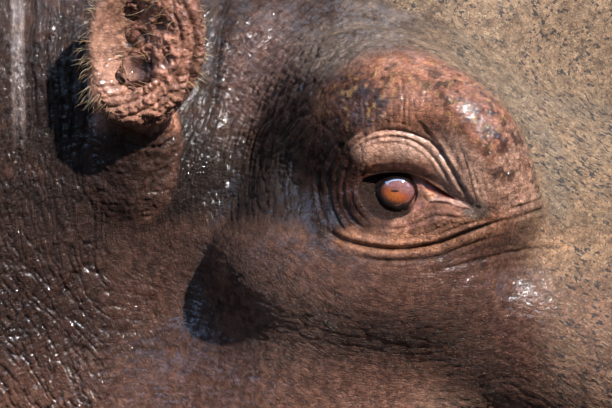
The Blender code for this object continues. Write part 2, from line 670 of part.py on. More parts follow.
pieces += [dressed(without_crumbs(p), "hide") for p in (trunk, neck, head, jaw)]

for piece in pieces:
    piece.data.transform(Matrix.Translation((-AHEAD_OF_MIDDLE, 0.0, 0.0)))
    piece.data.shade_smooth()
    piece.data.set_sharp_from_angle(angle=math.radians(50.0))
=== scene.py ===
import math
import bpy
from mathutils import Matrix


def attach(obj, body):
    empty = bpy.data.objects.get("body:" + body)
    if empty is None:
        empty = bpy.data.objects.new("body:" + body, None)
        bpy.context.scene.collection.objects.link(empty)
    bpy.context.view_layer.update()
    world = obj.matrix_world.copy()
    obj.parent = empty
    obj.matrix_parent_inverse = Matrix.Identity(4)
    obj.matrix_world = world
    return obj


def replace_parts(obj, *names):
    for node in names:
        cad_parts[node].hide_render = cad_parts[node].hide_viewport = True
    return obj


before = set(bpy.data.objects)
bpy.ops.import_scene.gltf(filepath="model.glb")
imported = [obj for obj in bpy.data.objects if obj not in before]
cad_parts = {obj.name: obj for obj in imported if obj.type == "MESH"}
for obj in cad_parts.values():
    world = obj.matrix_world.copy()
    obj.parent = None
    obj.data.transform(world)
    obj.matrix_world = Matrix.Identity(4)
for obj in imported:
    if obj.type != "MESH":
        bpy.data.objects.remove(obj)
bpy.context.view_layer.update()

from concurrent.futures import ThreadPoolExecutor

import bpy
import numpy as np
from mathutils import Matrix, Vector

# =====================================================================================================
# Sizes, as in the CAD model (metres; the eye line and all stations are measured before the shift that
# puts the middle of the animal over the origin).
# =====================================================================================================
SHIFT = 0.0840
EYE_X, EYE_Z = 1.205, 1.165
EYE_HALF_SPAN = 0.1705
HEAD_SPREAD = 0.0220
EYE_GAZE = (0.30, 0.86, 0.41)
EYE_RADIUS = 0.0200
HEAD_TILT = math.radians(3.0)
EAR_LENGTH, EAR_WIDTH, EAR_DEPTH = 0.122, 0.085, 0.034
FRONT_X, HIND_X = 0.42, -1.05
FRONT_TRACK, HIND_TRACK = 0.300, 0.285
STEP = {("front", 1): -0.045, ("front", -1): 0.045, ("hind", 1): 0.050, ("hind", -1): -0.050}
TOE_ANGLES = (-46.0, -15.0, 15.0, 46.0)

TRUNK = [
    (-1.52, 1.00, 0.84, 0.10, 2.0),
    (-1.45, 1.17, 0.68, 0.25, 2.1),
    (-1.32, 1.305, 0.56, 0.360, 2.15),
    (-1.08, 1.405, 0.47, 0.440, 2.2),
    (-0.75, 1.448, 0.405, 0.495, 2.2),
    (-0.40, 1.442, 0.365, 0.525, 2.2),
    (-0.05, 1.425, 0.372, 0.520, 2.2),
    (0.25, 1.422, 0.430, 0.475, 2.2),
    (0.46, 1.425, 0.505, 0.415, 2.2),
    (0.64, 1.390, 0.570, 0.362, 2.2),
    (0.80, 1.315, 0.630, 0.285, 2.2),
    (0.96, 1.225, 0.690, 0.190, 2.1),
    (1.08, 1.110, 0.780, 0.095, 2.1),
]
UPPER_HEAD = [
    (-0.30, 0.016, -0.340, 0.130, 2.1),
    (-0.20, 0.034, -0.370, 0.104, 2.1),
    (-0.15, 0.038, -0.365, 0.100, 2.1),
    (-0.10, 0.036, -0.360, 0.150, 2.4),
    (0.00, 0.016, -0.330, 0.156, 2.5),
    (0.10, -0.028, -0.295, 0.136, 2.2),
    (0.20, -0.042, -0.280, 0.145, 2.4),
    (0.30, -0.042, -0.290, 0.178, 2.6),
    (0.38, -0.034, -0.300, 0.205, 2.8),
    (0.46, -0.048, -0.298, 0.208, 2.8),
    (0.52, -0.090, -0.280, 0.182, 2.6),
    (0.555, -0.145, -0.250, 0.120, 2.3),
]
LOWER_JAW = [
    (-0.22, -0.180, -0.430, 0.165, 2.4),
    (-0.12, -0.200, -0.465, 0.185, 2.4),
    (0.00, -0.200, -0.445, 0.168, 2.4),
    (0.12, -0.210, -0.405, 0.140, 2.4),
    (0.24, -0.230, -0.400, 0.145, 2.5),
    (0.36, -0.250, -0.425, 0.172, 2.6),
    (0.44, -0.255, -0.420, 0.168, 2.6),
    (0.50, -0.265, -0.375, 0.130, 2.4),
]
MOUTH = [(0.02, -0.190), (0.10, -0.228), (0.20, -0.250), (0.30, -0.278), (0.38, -0.292), (0.46, -0.286), (0.53, -0.272)]
TAIL = [
    (-1.455, 1.150, 0.070), (-1.520, 1.065, 0.050), (-1.548, 0.940, 0.040),
    (-1.556, 0.840, 0.031), (-1.556, 0.750, 0.022),
]


# =====================================================================================================
# Small mathematics
# =====================================================================================================
def unit(v):
    v = np.array(v, float)
    return v / np.linalg.norm(v)


def smooth_join(a, b, k):
    h = np.clip(0.5 + 0.5 * (b - a) / k, 0.0, 1.0)
    return b + (a - b) * h - k * h * (1.0 - h)


def smooth_cut(a, b, k):
    return -smooth_join(-a, b, k)


def ramp(x, a, b):
    """0 before a, 1 after b, smooth between; a may be larger than b."""
    t = np.clip((x - a) / (b - a), 0.0, 1.0)
    return t * t * (3 - 2 * t)


def turned(rx=0.0, ry=0.0, rz=0.0):
    a, b, c = (math.radians(v) for v in (rx, ry, rz))
    X = np.array([[1, 0, 0], [0, math.cos(a), -math.sin(a)], [0, math.sin(a), math.cos(a)]])
    Y = np.array([[math.cos(b), 0, math.sin(b)], [0, 1, 0], [-math.sin(b), 0, math.cos(b)]])
    Z = np.array([[math.cos(c), -math.sin(c), 0], [math.sin(c), math.cos(c), 0], [0, 0, 1]])
    return Z @ Y @ X


def hermite(x, xs, ys):
    xs, ys = np.asarray(xs, float), np.asarray(ys, float)
    m = np.gradient(ys, xs)
    x = np.clip(x, xs[0], xs[-1])
    i = np.clip(np.searchsorted(xs, x) - 1, 0, len(xs) - 2)
    h = xs[i + 1] - xs[i]
    t = (x - xs[i]) / h
    t2, t3 = t * t, t * t * t
    return ((2 * t3 - 3 * t2 + 1) * ys[i] + (t3 - 2 * t2 + t) * h * m[i]
            + (-2 * t3 + 3 * t2) * ys[i + 1] + (t3 - t2) * h * m[i + 1])


def egg(p, centre, radii):
    r = np.array(radii, float)
    q = p - np.array(centre, float)
    a = np.sqrt(((q / r) ** 2).sum(1)) + 1e-9
    b = np.sqrt(((q / (r * r)) ** 2).sum(1)) + 1e-9
    return a * (a - 1.0) / b


def hashed(i, j, k, seed):
    h = (i * 73856093) ^ (j * 19349663) ^ (k * 83492791) ^ (seed * 2654435761)
    h = (h ^ (h >> 13)) * 1274126177
    h &= 0xFFFFFFFF
    h ^= h >> 16
    return h


def noise(p, scale=1.0, seed=0):
    """Smooth value noise, -1 to 1, one cell per 1/scale."""
    q = p * scale
    f = np.floor(q).astype(np.int64)
    t = q - f
    t = t * t * t * (t * (t * 6 - 15) + 10)
    out = np.zeros(len(p))
    for n in range(8):
        a, b, c = n & 1, n >> 1 & 1, n >> 2 & 1
        h = hashed(f[:, 0] + a, f[:, 1] + b, f[:, 2] + c, seed)
        w = (t[:, 0] if a else 1 - t[:, 0]) * (t[:, 1] if b else 1 - t[:, 1]) * (t[:, 2] if c else 1 - t[:, 2])
        out += w * (h / 2147483647.5 - 1.0)
    return out


def clouds(p, scale=1.0, seed=0, octaves=3):
    out, a = np.zeros(len(p)), 1.0
    for n in range(octaves):
        out += a * noise(p, scale * 2.03 ** n, seed + 17 * n)
        a *= 0.5
    return out / (2 - 2.0 ** (1 - octaves))


# =====================================================================================================
# The body as a field of rounded masses (negative inside)
# =====================================================================================================
class Flesh:
    def __init__(self, points, near=0.10, far=0.5):
        self.p = points
        self.d = np.full(len(points), far)
        self.near = near

    def _pick(self, lo, hi, k):
        m = k + self.near
        p = self.p
        return np.flatnonzero(
            (p[:, 0] > lo[0] - m) & (p[:, 0] < hi[0] + m)
            & (p[:, 1] > lo[1] - m) & (p[:, 1] < hi[1] + m)
            & (p[:, 2] > lo[2] - m) & (p[:, 2] < hi[2] + m)
        )

    def _merge(self, i, d, k, cut=False):
        self.d[i] = smooth_cut(self.d[i], d, k) if cut else smooth_join(self.d[i], d, k)

    def mass(self, centre, radii, k=0.03, rx=0.0, ry=0.0, rz=0.0, cut=False):
        c, r, R = np.array(centre, float), np.array(radii, float), turned(rx, ry, rz)
        reach = np.abs(R) @ r
        i = self._pick(c - reach, c + reach, k)
        if len(i):
            self._merge(i, egg((self.p[i] - c) @ R, (0, 0, 0), r), k, cut)

    def limb(self, a, b, ra, rb, k=0.03, flat=1.0, cut=False):
        a, b = np.array(a, float), np.array(b, float)
        big = max(ra, rb)
        i = self._pick(np.minimum(a, b) - big, np.maximum(a, b) + big, k)
        if len(i):
            p, ab = self.p[i] - a, b - a
            if flat != 1.0:
                n = np.array((0.0, 1.0, 0.0)) - ab * (ab[1] / (ab @ ab))
                n /= np.linalg.norm(n)
                p = p + np.outer((p @ n) * (1.0 / flat - 1.0), n)
            t = np.clip((p @ ab) / (ab @ ab), 0.0, 1.0)
            t = t * t * (3 - 2 * t) * 0.5 + t * 0.5
            d = np.linalg.norm(p - t[:, None] * ab, axis=1) - (ra + (rb - ra) * t)
            self._merge(i, d * min(1.0, flat ** 0.5), k, cut)

    def loft(self, stations, k=0.03):
        s = np.array(stations, float)
        lo = np.array([s[0, 0], -s[:, 3].max(), s[:, 2].min()])
        hi = np.array([s[-1, 0], s[:, 3].max(), s[:, 1].max()])
        i = self._pick(lo - 0.05, hi + 0.05, k)
        if len(i):
            x = self.p[i, 0]
            top, low, w, n = (hermite(x, s[:, 0], s[:, c]) for c in (1, 2, 3, 4))
            y, z, h = self.p[i, 1], self.p[i, 2] - (top + low) / 2, (top - low) / 2
            r = (np.abs(y / w) ** n + np.abs(z / h) ** n) ** (1.0 / n) + 1e-9
            d = np.sqrt(y * y + z * z) * (1.0 - 1.0 / r)
            d = np.where(r < 0.35, -0.65 * np.minimum(w, h), d)
            past = np.maximum(s[0, 0] - x, x - s[-1, 0])
            self._merge(i, np.where(past > -0.06, smooth_cut(d, -past, 0.06), d), k)


HC, HS = math.cos(HEAD_TILT), math.sin(HEAD_TILT)


def to_head(points):
    x, z = points[:, 0] - EYE_X, points[:, 2] - EYE_Z
    return np.stack([HC * x - HS * z, points[:, 1], HS * x + HC * z], 1)


def from_head(p):
    p = np.atleast_2d(np.array(p, float))
    return np.stack([EYE_X + HC * p[:, 0] + HS * p[:, 2], p[:, 1], EYE_Z - HS * p[:, 0] + HC * p[:, 2]], 1)


def head_masses(f):
    f.loft(UPPER_HEAD, k=0.07)
    f.loft(LOWER_JAW, k=0.045)
    f.mass((-0.060, 0.136, -0.262), (0.120, 0.085, 0.150), k=0.04, ry=8)
    f.mass((-0.150, 0.130, -0.335), (0.110, 0.090, 0.125), k=0.05)
    f.mass((-0.034, 0.139, -0.080), (0.104, 0.046, 0.046), k=0.045, ry=-6)
    f.mass((0.085, 0.102, -0.118), (0.100, 0.036, 0.042), k=0.04, ry=12)
    f.mass((0.006, 0.107, 0.010), (0.074, 0.052, 0.067), k=0.040)
    f.mass((-0.045, 0.064, 0.024), (0.062, 0.052, 0.046), k=0.05)
    f.mass((0.034, 0.098, -0.020), (0.050, 0.036, 0.036), k=0.030)
    f.mass((-0.207, 0.078, -0.066), (0.050, 0.042, 0.048), k=0.05)
    f.mass((0.370, 0.180, -0.185), (0.100, 0.066, 0.115), k=0.05)
    f.mass((0.465, 0.120, -0.185), (0.085, 0.095, 0.100), k=0.05)
    f.mass((0.290, 0.150, -0.240), (0.085, 0.048, 0.050), k=0.04)
    f.mass((0.440, 0.096, -0.034), (0.064, 0.046, 0.040), k=0.04, rz=-14)
    f.mass((0.400, 0.060, -0.350), (0.090, 0.115, 0.072), k=0.04)


EAR_MIDDLE = np.array((-0.205, 0.124, 0.058))
EAR_UP = unit((-0.06, -0.30, 1.0))
EAR_OUT = np.array((0.42, 0.91, -0.02))
EAR_OUT = unit(EAR_OUT - EAR_UP * (EAR_OUT @ EAR_UP))
EAR_AXES = np.stack([np.cross(EAR_OUT, EAR_UP), EAR_OUT, EAR_UP], 1)


def ear_field(h, fat=0.0):
    """The ear on its stalk: across (forwards), out of the opening, up. h: head coordinates, left half."""
    q = (h - EAR_MIDDLE) @ EAR_AXES
    w, l, d = EAR_WIDTH / 2, EAR_LENGTH / 2, EAR_DEPTH
    outer = egg(q, (0, 0, 0), (w, d, l))
    outer = smooth_join(outer, egg(q, (-0.010, 0.002, -0.038), (0.027, 0.018, 0.021)), 0.010)
    # a shallow dish behind, a lower lobe in front of it, and the clefts that lead into the ear between them
    outer = smooth_cut(outer, 0.0208 - 0.16 * np.abs(q[:, 0] - 0.022) - q[:, 1], 0.010)
    dish = egg(q, (-0.0165, 0.046, 0.003), (0.0335, 0.0470, 0.0575))
    bent = q + np.stack([noise(h, 140, 401), noise(h, 90, 402) * 0.3, noise(h, 140, 403)], 1) * 0.0034
    clefts = np.minimum(egg(bent, (-0.0080, 0.003, 0.0020), (0.0092, 0.021, 0.0068)), egg(bent, (-0.0052, 0.003, -0.0215), (0.0120, 0.027, 0.0142)))
    clefts = np.minimum(clefts, egg(bent, (-0.0112, 0.004, 0.0240), (0.0050, 0.016, 0.0080)))
    hollow = smooth_join(dish, clefts, 0.003)
    shell = smooth_cut(outer, hollow + fat * 1.6, 0.005)
    a, b = np.array((0.003, -0.042, -0.110)), np.array((0.000, -0.021, -0.044))
    v, ab = q - a, b - a
    s = np.clip(v @ ab / (ab @ ab), 0, 1)
    stalk = np.linalg.norm((v - s[:, None] * ab) * (0.92, 1.0, 1.0), axis=1) - (0.028 - 0.008 * s)
    stalk = smooth_cut(stalk, clefts + fat, 0.006)
    return smooth_join(shell, stalk, 0.016) - fat


def leg_points(which, side):
    d = STEP[(which, side)]
    if which == "front":
        return {
            "top": (FRONT_X + 0.06, side * 0.250, 0.980),
            "mid": (FRONT_X - 0.055 + 0.4 * d, side * FRONT_TRACK, 0.600),
            "low": (FRONT_X + 0.005 + 0.8 * d, side * (FRONT_TRACK - 0.005), 0.235),
            "foot": (FRONT_X + 0.030 + d, side * FRONT_TRACK, 0.062),
            "r": (0.185, 0.150, 0.107, 0.113),
        }
    return {
        "top": (HIND_X, side * 0.240, 0.930),
        "mid": (HIND_X + 0.12 + 0.4 * d, side * (HIND_TRACK + 0.010), 0.600),
        "low": (HIND_X - 0.045 + 0.8 * d, side * HIND_TRACK, 0.290),
        "foot": (HIND_X + 0.015 + d, side * (HIND_TRACK + 0.005), 0.062),
        "r": (0.225, 0.162, 0.108, 0.107),
    }


def toe(which, side, i):
    foot = leg_points(which, side)["foot"]
    a = side * math.radians(8.0 - TOE_ANGLES[i])
    way = np.array((math.cos(a), math.sin(a), 0.0))
    return np.array((foot[0], foot[1], 0.0)) + way * (0.120 if i in (1, 2) else 0.104), way


def leg_masses(f, which, side):
    L = leg_points(which, side)
    r = L["r"]
    top, mid, low, foot = (np.array(L[n]) for n in ("top", "mid", "low", "foot"))
    if which == "front":
        f.mass(top + (0.0, side * 0.02, -0.02), (0.210, 0.170, 0.350), k=0.10, ry=6)
        f.limb(top + (0, 0, -0.1), mid, r[0], r[1], k=0.09, flat=0.92)
        f.limb(mid, low, r[1], r[2], k=0.06)
        f.mass(mid + (-0.085, side * 0.01, 0.01), (0.085, 0.085, 0.10), k=0.07)
    else:
        f.mass(top + (0.02, side * 0.03, -0.04), (0.305, 0.185, 0.380), k=0.11, ry=-14)
        f.limb(top + (0.04, 0, -0.12), mid, r[0] * 0.92, r[1], k=0.10, flat=0.92)
        f.limb(mid, low, r[1], r[2], k=0.07)
        f.mass(low + (-0.045, 0, 0.03), (0.065, 0.062, 0.085), k=0.05)
        f.mass(mid + (0.09, 0, 0.02), (0.115, 0.100, 0.150), k=0.09)
    f.limb(low, foot, r[2], r[3], k=0.04)
    f.mass((foot[0] + 0.008, foot[1], 0.040), (0.116, 0.112, 0.074), k=0.035)
    f.mass((foot[0] - 0.055, foot[1], 0.042), (0.075, 0.085, 0.068), k=0.03)
    for i in range(4):
        tip, way = toe(which, side, i)
        f.limb(tip - way * 0.085 + (0, 0, 0.056), tip + (0, 0, 0.032), 0.043, 0.036, k=0.010)


# =====================================================================================================
# The chart of the right side of the head: a plane square to the photograph's line of sight, with its
# origin at the front of the right eye. Millimetres; the left side uses its mirror image.
# =====================================================================================================
VIEW_AZ, VIEW_EL = math.radians(22.0), math.radians(27.0)
C_RIGHT = np.array((math.cos(VIEW_AZ), math.sin(VIEW_AZ), 0.0))
C_BACK = np.array((math.sin(VIEW_AZ) * math.cos(VIEW_EL), -math.cos(VIEW_AZ) * math.cos(VIEW_EL), math.sin(VIEW_EL)))
C_UP = np.cross(C_BACK, C_RIGHT)
CHART = np.stack([C_RIGHT, C_UP, C_BACK], 1) * 1000.0
EYE_FRONT = np.array((EYE_X, -EYE_HALF_SPAN, EYE_Z))
STEP_MM = 0.7        # one unit of the chart's grid, in which its curves are written
EYE_AT = (397.0, 190.0)


def chart(p, mirrored=True):
    """Grid place (to the muzzle, down) and height over the eye's front in mm, for points before the shift."""
    q = p.copy()
    if mirrored:
        q[:, 1] = -np.abs(q[:, 1])
    c = (q - EYE_FRONT) @ CHART
    return EYE_AT[0] + c[:, 0] / STEP_MM, EYE_AT[1] - c[:, 1] / STEP_MM, c[:, 2]


def unchart(u, v, d):
    """The point on the animal's right side at this grid place and height."""
    c = np.array([(u - EYE_AT[0]) * STEP_MM, (EYE_AT[1] - v) * STEP_MM, d]) / 1000.0
    return EYE_FRONT + C_RIGHT * c[0] + C_UP * c[1] + C_BACK * c[2]


def spline(points, per=8, closed=False):
    """Catmull-Rom curve through the points."""
    p = np.array(points, float)
    n = len(p)
    if closed:
        ext = np.concatenate([p[-1:], p, p[:2]])
        spans = n
    else:
        ext = np.concatenate([2 * p[:1] - p[1:2], p, 2 * p[-1:] - p[-2:-1]])
        spans = n - 1
    t = np.arange(per) / per
    out = []
    for i in range(spans):
        a, b, c, d = ext[i:i + 4]
        tt = t[:, None]
        out.append(0.5 * (2 * b + (c - a) * tt + (2 * a - 5 * b + 4 * c - d) * tt ** 2 + (3 * b - a - 3 * c + d) * tt ** 3))
    if not closed:
        out.append(p[-1:])
    return np.concatenate(out)


def along(line, u, v):
    """Signed distance (positive on the line's left, seen with v down: above a line drawn to the right)
    and share of the way along, of grid places from a polyline."""
    best = np.full(len(u), 1e9)
    sign = np.ones(len(u))
    where = np.zeros(len(u))
    seg = line[1:] - line[:-1]
    length = np.linalg.norm(seg, axis=1)
    start = np.concatenate([[0], np.cumsum(length)])
    for i in range(len(seg)):
        du, dv = u - line[i, 0], v - line[i, 1]
        t = np.clip((du * seg[i, 0] + dv * seg[i, 1]) / (length[i] ** 2 + 1e-12), 0, 1)
        eu, ev = du - t * seg[i, 0], dv - t * seg[i, 1]
        d = eu * eu + ev * ev
        m = d < best
        best = np.where(m, d, best)
        cr = seg[i, 1] * du - seg[i, 0] * dv
        sign = np.where(m, np.sign(cr), sign)
        where = np.where(m, (start[i] + t * length[i]) / start[-1], where)
    return np.sqrt(best) * sign, where


FISSURE = spline([(358, 188), (363, 179), (374, 174.5), (386, 172.5), (400, 172), (412, 174), (424, 179), (437, 187),
                  (450, 195), (461, 202), (470, 208), (462, 209), (450, 204.5), (438, 202.5), (428, 204), (415, 211),
                  (400, 218), (386, 220.5), (373, 216), (363, 206), (358, 196)], per=4, closed=True)


def inside_distance(loop, u, v):
    """Signed distance in grid units to a closed loop, negative inside."""
    line = np.concatenate([loop, loop[:1]])
    d, _ = along(line, u, v)
    d = np.abs(d)
    inside = np.zeros(len(u), bool)
    for i in range(len(line) - 1):
        (x0, y0), (x1, y1) = line[i], line[i + 1]
        cross = (y0 > v) != (y1 > v)
        at = (x1 - x0) * (v - y0) / (y1 - y0 + 1e-12) + x0
        inside ^= cross & (u < at)
    return np.where(inside, -d, d)


GAZE = unit((EYE_GAZE[0], -EYE_GAZE[1], EYE_GAZE[2]))          # of the right eye
BALL_AT = EYE_FRONT - GAZE * EYE_RADIUS
BALL_CHART = np.array([(BALL_AT - EYE_FRONT) @ CHART]).ravel()  # mm

UPPER_RIM = ((350, -6.0), (358, -4.6), (372, -1.6), (385, 0.4), (400, 1.5), (415, 2.0), (430, 3.6), (450, 7.0), (472, 10.5))
CREASE = spline([(336, 178), (343, 156), (355, 142), (370, 134), (386, 130.5), (402, 131.5), (417, 136), (431, 143), (441, 154), (450, 169), (458, 184), (467, 197), (475, 206)], 4)
LOWER_RIM = ((350, -6.0), (358, -4.4), (366, -5.2), (384, -4.6), (400, -3.4), (415, -1.2), (430, 2.2), (450, 6.6), (472, 10.5))
INNER_CORNER = ((408, -6.5), (414, -3.6), (420, -2.0), (426, 0.0), (432, 1.8), (440, 3.6), (450, 5.8), (460, 8.2), (472, 10.5))


def carved(u, v, z):
    """Height of the skin over the eye's front in mm, with the lids, the socket and the inner corner cut into it."""
    out = z.copy()
    i = np.flatnonzero((np.abs(u - 412) < 92) & (np.abs(v - 188) < 82) & (z > -60))
    if not len(i):
        return out
    u, v, z = u[i], v[i], z[i]
    s = inside_distance(FISSURE, u, v) * STEP_MM
    upper = ramp(v, hermite(u, [350, 358, 384, 415, 430, 450, 472], [192, 194, 197, 194, 193, 199, 208]) + 3.0,
                 hermite(u, [350, 358, 384, 415, 430, 450, 472], [190, 190, 193, 190, 190, 197, 207]) - 3.0)
    rim = (hermite(u, *np.array(UPPER_RIM).T) * upper + hermite(u, *np.array(LOWER_RIM).T) * (1 - upper))
    # the upper lid is a swelling that sits deep under the fold of the brow; the lower lid sinks towards its rim
    under_fold = -along(CREASE, u, v)[0] * STEP_MM
    swell = rim + hermite(s, [0, 2.8, 5.2, 10, 16, 22, 45], [0, 3.5, 5.8, 9.8, 12.8, 14.1, 15.0]) * hermite(u, [408, 436, 470], [1.0, 0.60, 0.52])
    z = z + (np.minimum(z, swell) - z) * ramp(under_fold / hermite(u, [380, 408, 436, 472], [10.0, 15.0, 26.0, 34.0]), -1.0, 0.25) * upper * ramp(s, -1.0, 0.0)
    reach = 7.0 * upper + 15.0 * (1 - upper)
    t = np.clip(s / reach, 0, 1)
    lid = rim + (z - rim) * (np.sin(t * math.pi / 2) ** 1.15)
    # inside the rim: the wall, then the floor under the ball
    c = np.stack([(u - 397) * STEP_MM, (190 - v) * STEP_MM], 1)
    r = np.linalg.norm(c - BALL_CHART[:2], axis=1)
    ball = BALL_CHART[2] + np.sqrt(np.maximum(400.0 - r * r, 0.0))
    floor = np.maximum(ball - 0.8, -9.4 + 0.24 * (r - 15.5))
    # third eyelid, fleshy corner, and the red recess under the upper lid
    corner = hermite(u, *np.array(INNER_CORNER).T) + 0.8 * ramp(u, 416, 424)
    lump = 1.9 * np.exp(-(((u - 427.5) / 4.6) ** 2 + ((v - 194.5) / 5.4) ** 2) ** 1.3)
    lump += 1.6 * np.exp(-(((v - hermite(u, [424, 432, 444, 456], [203, 200.5, 200.5, 203])) / 2.6) ** 2)) * ramp(u, 426, 432) * ramp(u, 456, 446)
    under = 2.2 * ramp(v, hermite(u, [420, 430, 442, 456], [186, 192.5, 197, 201]), hermite(u, [420, 430, 442, 456], [184, 188, 193, 199])) * ramp(u, 420, 427) * ramp(u, 462, 448)
    edge = hermite(v, [172, 180, 187, 194, 200, 208, 216], [411, 413.5, 416.5, 417.5, 416, 410.5, 404])
    third = ramp(u, edge - 0.9, edge + 0.9)
    floor = floor * (1 - third) + np.maximum(corner + lump - under, floor + 0.9 * ramp(u, edge + 14, edge + 4)) * third
    wall = 1.5 * upper + 3.4 * (1 - upper) * ramp(u, 440, 405) + 1.6 * (1 - upper) * ramp(u, 405, 440)
    w = np.clip(-s / wall, 0, 1)
    well = rim + (floor - rim) * (1 - (1 - w) ** 2.2)
    out[i] = np.where(s > 0, lid, well)
    return out


def carve(p):
    """Skin points after the eye openings are cut. p before the shift; both sides."""
    u, v, z = chart(p)
    dz = (carved(u, v, z) - z) / 1000.0
    back = np.where(p[:, 1:2] > 0, C_BACK * (1, -1, 1), C_BACK)
    return p + back * dz[:, None]


def hide(p, near=0.10, fat=0.0):
    """Field of the whole skin, before the shift."""
    f = Flesh(p, near)
    f.loft(TRUNK, k=0.05)
    f.mass((-0.36, 0.0, 0.775), (0.80, 0.530, 0.420), k=0.12)
    f.mass((0.52, 0.0, 0.79), (0.28, 0.29, 0.27), k=0.12)
    f.mass((0.90, 0.0, 0.885), (0.24, 0.240, 0.180), k=0.10)
    for side in (1, -1):
        leg_masses(f, "front", side)
        leg_masses(f, "hind", side)
    for a, b in zip(TAIL, TAIL[1:]):
        f.limb((a[0], 0, a[1]), (b[0], 0, b[1]), a[2], b[2], k=0.02, flat=0.72)
    h = to_head(p)
    h[:, 1] = np.maximum(np.abs(h[:, 1]) - HEAD_SPREAD, 0.0)
    at = np.flatnonzero((h[:, 0] > -0.55) & (h[:, 0] < 0.75) & (h[:, 1] < 0.5) & (np.abs(h[:, 2] + 0.15) < 0.5))
    if len(at):
        g = Flesh(h[at], near)
        head_masses(g)
        d = smooth_join(f.d[at], g.d, 0.09)
        e = np.flatnonzero(np.linalg.norm(h[at] - EAR_MIDDLE + EAR_UP * 0.02, axis=1) < 0.15)
        if len(e):
            d[e] = smooth_join(d[e], ear_field(h[at][e], fat), 0.016)
        f.d[at] = d
    return np.maximum(f.d, -p[:, 2])


# =====================================================================================================
# From field to mesh
# =====================================================================================================
def sampled(field, lo, hi, cell, block=8):
    lo, hi = np.array(lo, float), np.array(hi, float)
    n = np.ceil((hi - lo) / cell / block).astype(int) * block + 1
    coarse = [lo[i] + cell * np.arange(n[i])[::block] for i in range(3)]
    d = field(np.stack(np.meshgrid(*coarse, indexing="ij"), -1).reshape(-1, 3)).reshape([len(a) for a in coarse])
    shape = [len(a) - 1 for a in coarse]
    near, some, every = np.zeros(shape, bool), np.zeros(shape, bool), np.ones(shape, bool)
    for i in range(8):
        sl = tuple(slice(i >> a & 1, (i >> a & 1) + shape[a]) for a in range(3))
        near |= np.abs(d[sl]) < block * cell * 1.9
        some |= d[sl] < 0
        every &= d[sl] < 0
    near |= some & ~every
    grid = np.where(d < 0, -1.0, 1.0)
    for a in range(3):
        grid = np.repeat(grid, block, a)
    grid = grid[: n[0], : n[1], : n[2]].astype(np.float32)
    need = np.zeros(n, bool)
    for i, j, k in np.argwhere(near) * block:
        need[i:i + block + 1, j:j + block + 1, k:k + block + 1] = True
    points = lo + np.argwhere(need) * cell
    grid[need] = in_blocks(field, points, 100000)
    return grid


def netted(grid, lo, cell):
    inside = grid < 0
    cells = tuple(s - 1 for s in grid.shape)
    count, total = np.zeros(cells, np.int32), np.zeros(cells + (3,), np.float64)
    crossings = []
    for a in range(3):
        lower, upper = [slice(None)] * 3, [slice(None)] * 3
        lower[a], upper[a] = slice(0, -1), slice(1, None)
        lower, upper = tuple(lower), tuple(upper)
        cross = inside[lower] != inside[upper]
        at = np.argwhere(cross)
        p = at.astype(float)
        p[:, a] += grid[lower][cross] / (grid[lower][cross] - grid[upper][cross])
        b, c = (a + 1) % 3, (a + 2) % 3
        for db in (0, -1):
            for dc in (0, -1):
                ci = at.copy()
                ci[:, b] += db
                ci[:, c] += dc
                ok = (ci >= 0).all(1) & (ci < cells).all(1)
                np.add.at(count, tuple(ci[ok].T), 1)
                np.add.at(total, tuple(ci[ok].T), p[ok])
        crossings.append((b, c, at, inside[lower][cross]))
    index = np.full(cells, -1)
    index[count > 0] = np.arange((count > 0).sum())
    points = np.array(lo) + total[count > 0] / count[count > 0][:, None] * cell
    faces = []
    for b, c, at, solid in crossings:
        ok = (at[:, b] > 0) & (at[:, c] > 0) & (at[:, b] < cells[b]) & (at[:, c] < cells[c])
        at, solid = at[ok], solid[ok]
        ring = []
        for db, dc in ((-1, -1), (0, -1), (0, 0), (-1, 0)):
            ci = at.copy()
            ci[:, b] += db
            ci[:, c] += dc
            ring.append(index[tuple(ci.T)])
        ring = np.stack(ring, 1)
        faces.append(np.where(solid[:, None], ring, ring[:, ::-1]))
    return points, np.concatenate(faces)


def in_blocks(function, points, size=50000):
    if len(points) <= size:
        return function(points)
    with ThreadPoolExecutor(4) as workers:
        return np.concatenate(list(workers.map(function, [points[s:s + size] for s in range(0, len(points), size)])))


TETRA = np.array([(1, -1, -1), (-1, -1, 1), (-1, 1, -1), (1, 1, 1)], float)


def field_and_slope(field, p, eps):
    v = [field(p + t * eps) for t in TETRA]
    g = sum(np.outer(x, t) for x, t in zip(v, TETRA)) / (4 * eps)
    return sum(v) / 4, g


def settle(field, p, steps=2, eps=0.0008, most=0.004):
    """Moves points onto the field's zero surface."""
    def one(q):
        for _ in range(steps):
            d, g = field_and_slope(field, q, eps)
            g2 = (g * g).sum(1) + 0.04
            move = -(d / g2)[:, None] * g
            size = np.linalg.norm(move, axis=1) + 1e-12
            q = q + move * np.minimum(1.0, most / size)[:, None]
        return q
    return in_blocks(one, p)


def edges_of(tris, n):
    a = np.concatenate([tris[:, 0], tris[:, 1], tris[:, 2]])
    b = np.concatenate([tris[:, 1], tris[:, 2], tris[:, 0]])
    key = np.minimum(a, b) * n + np.maximum(a, b)
    keys, inverse = np.unique(key, return_inverse=True)
    return keys // n, keys % n, inverse.reshape(3, -1).T


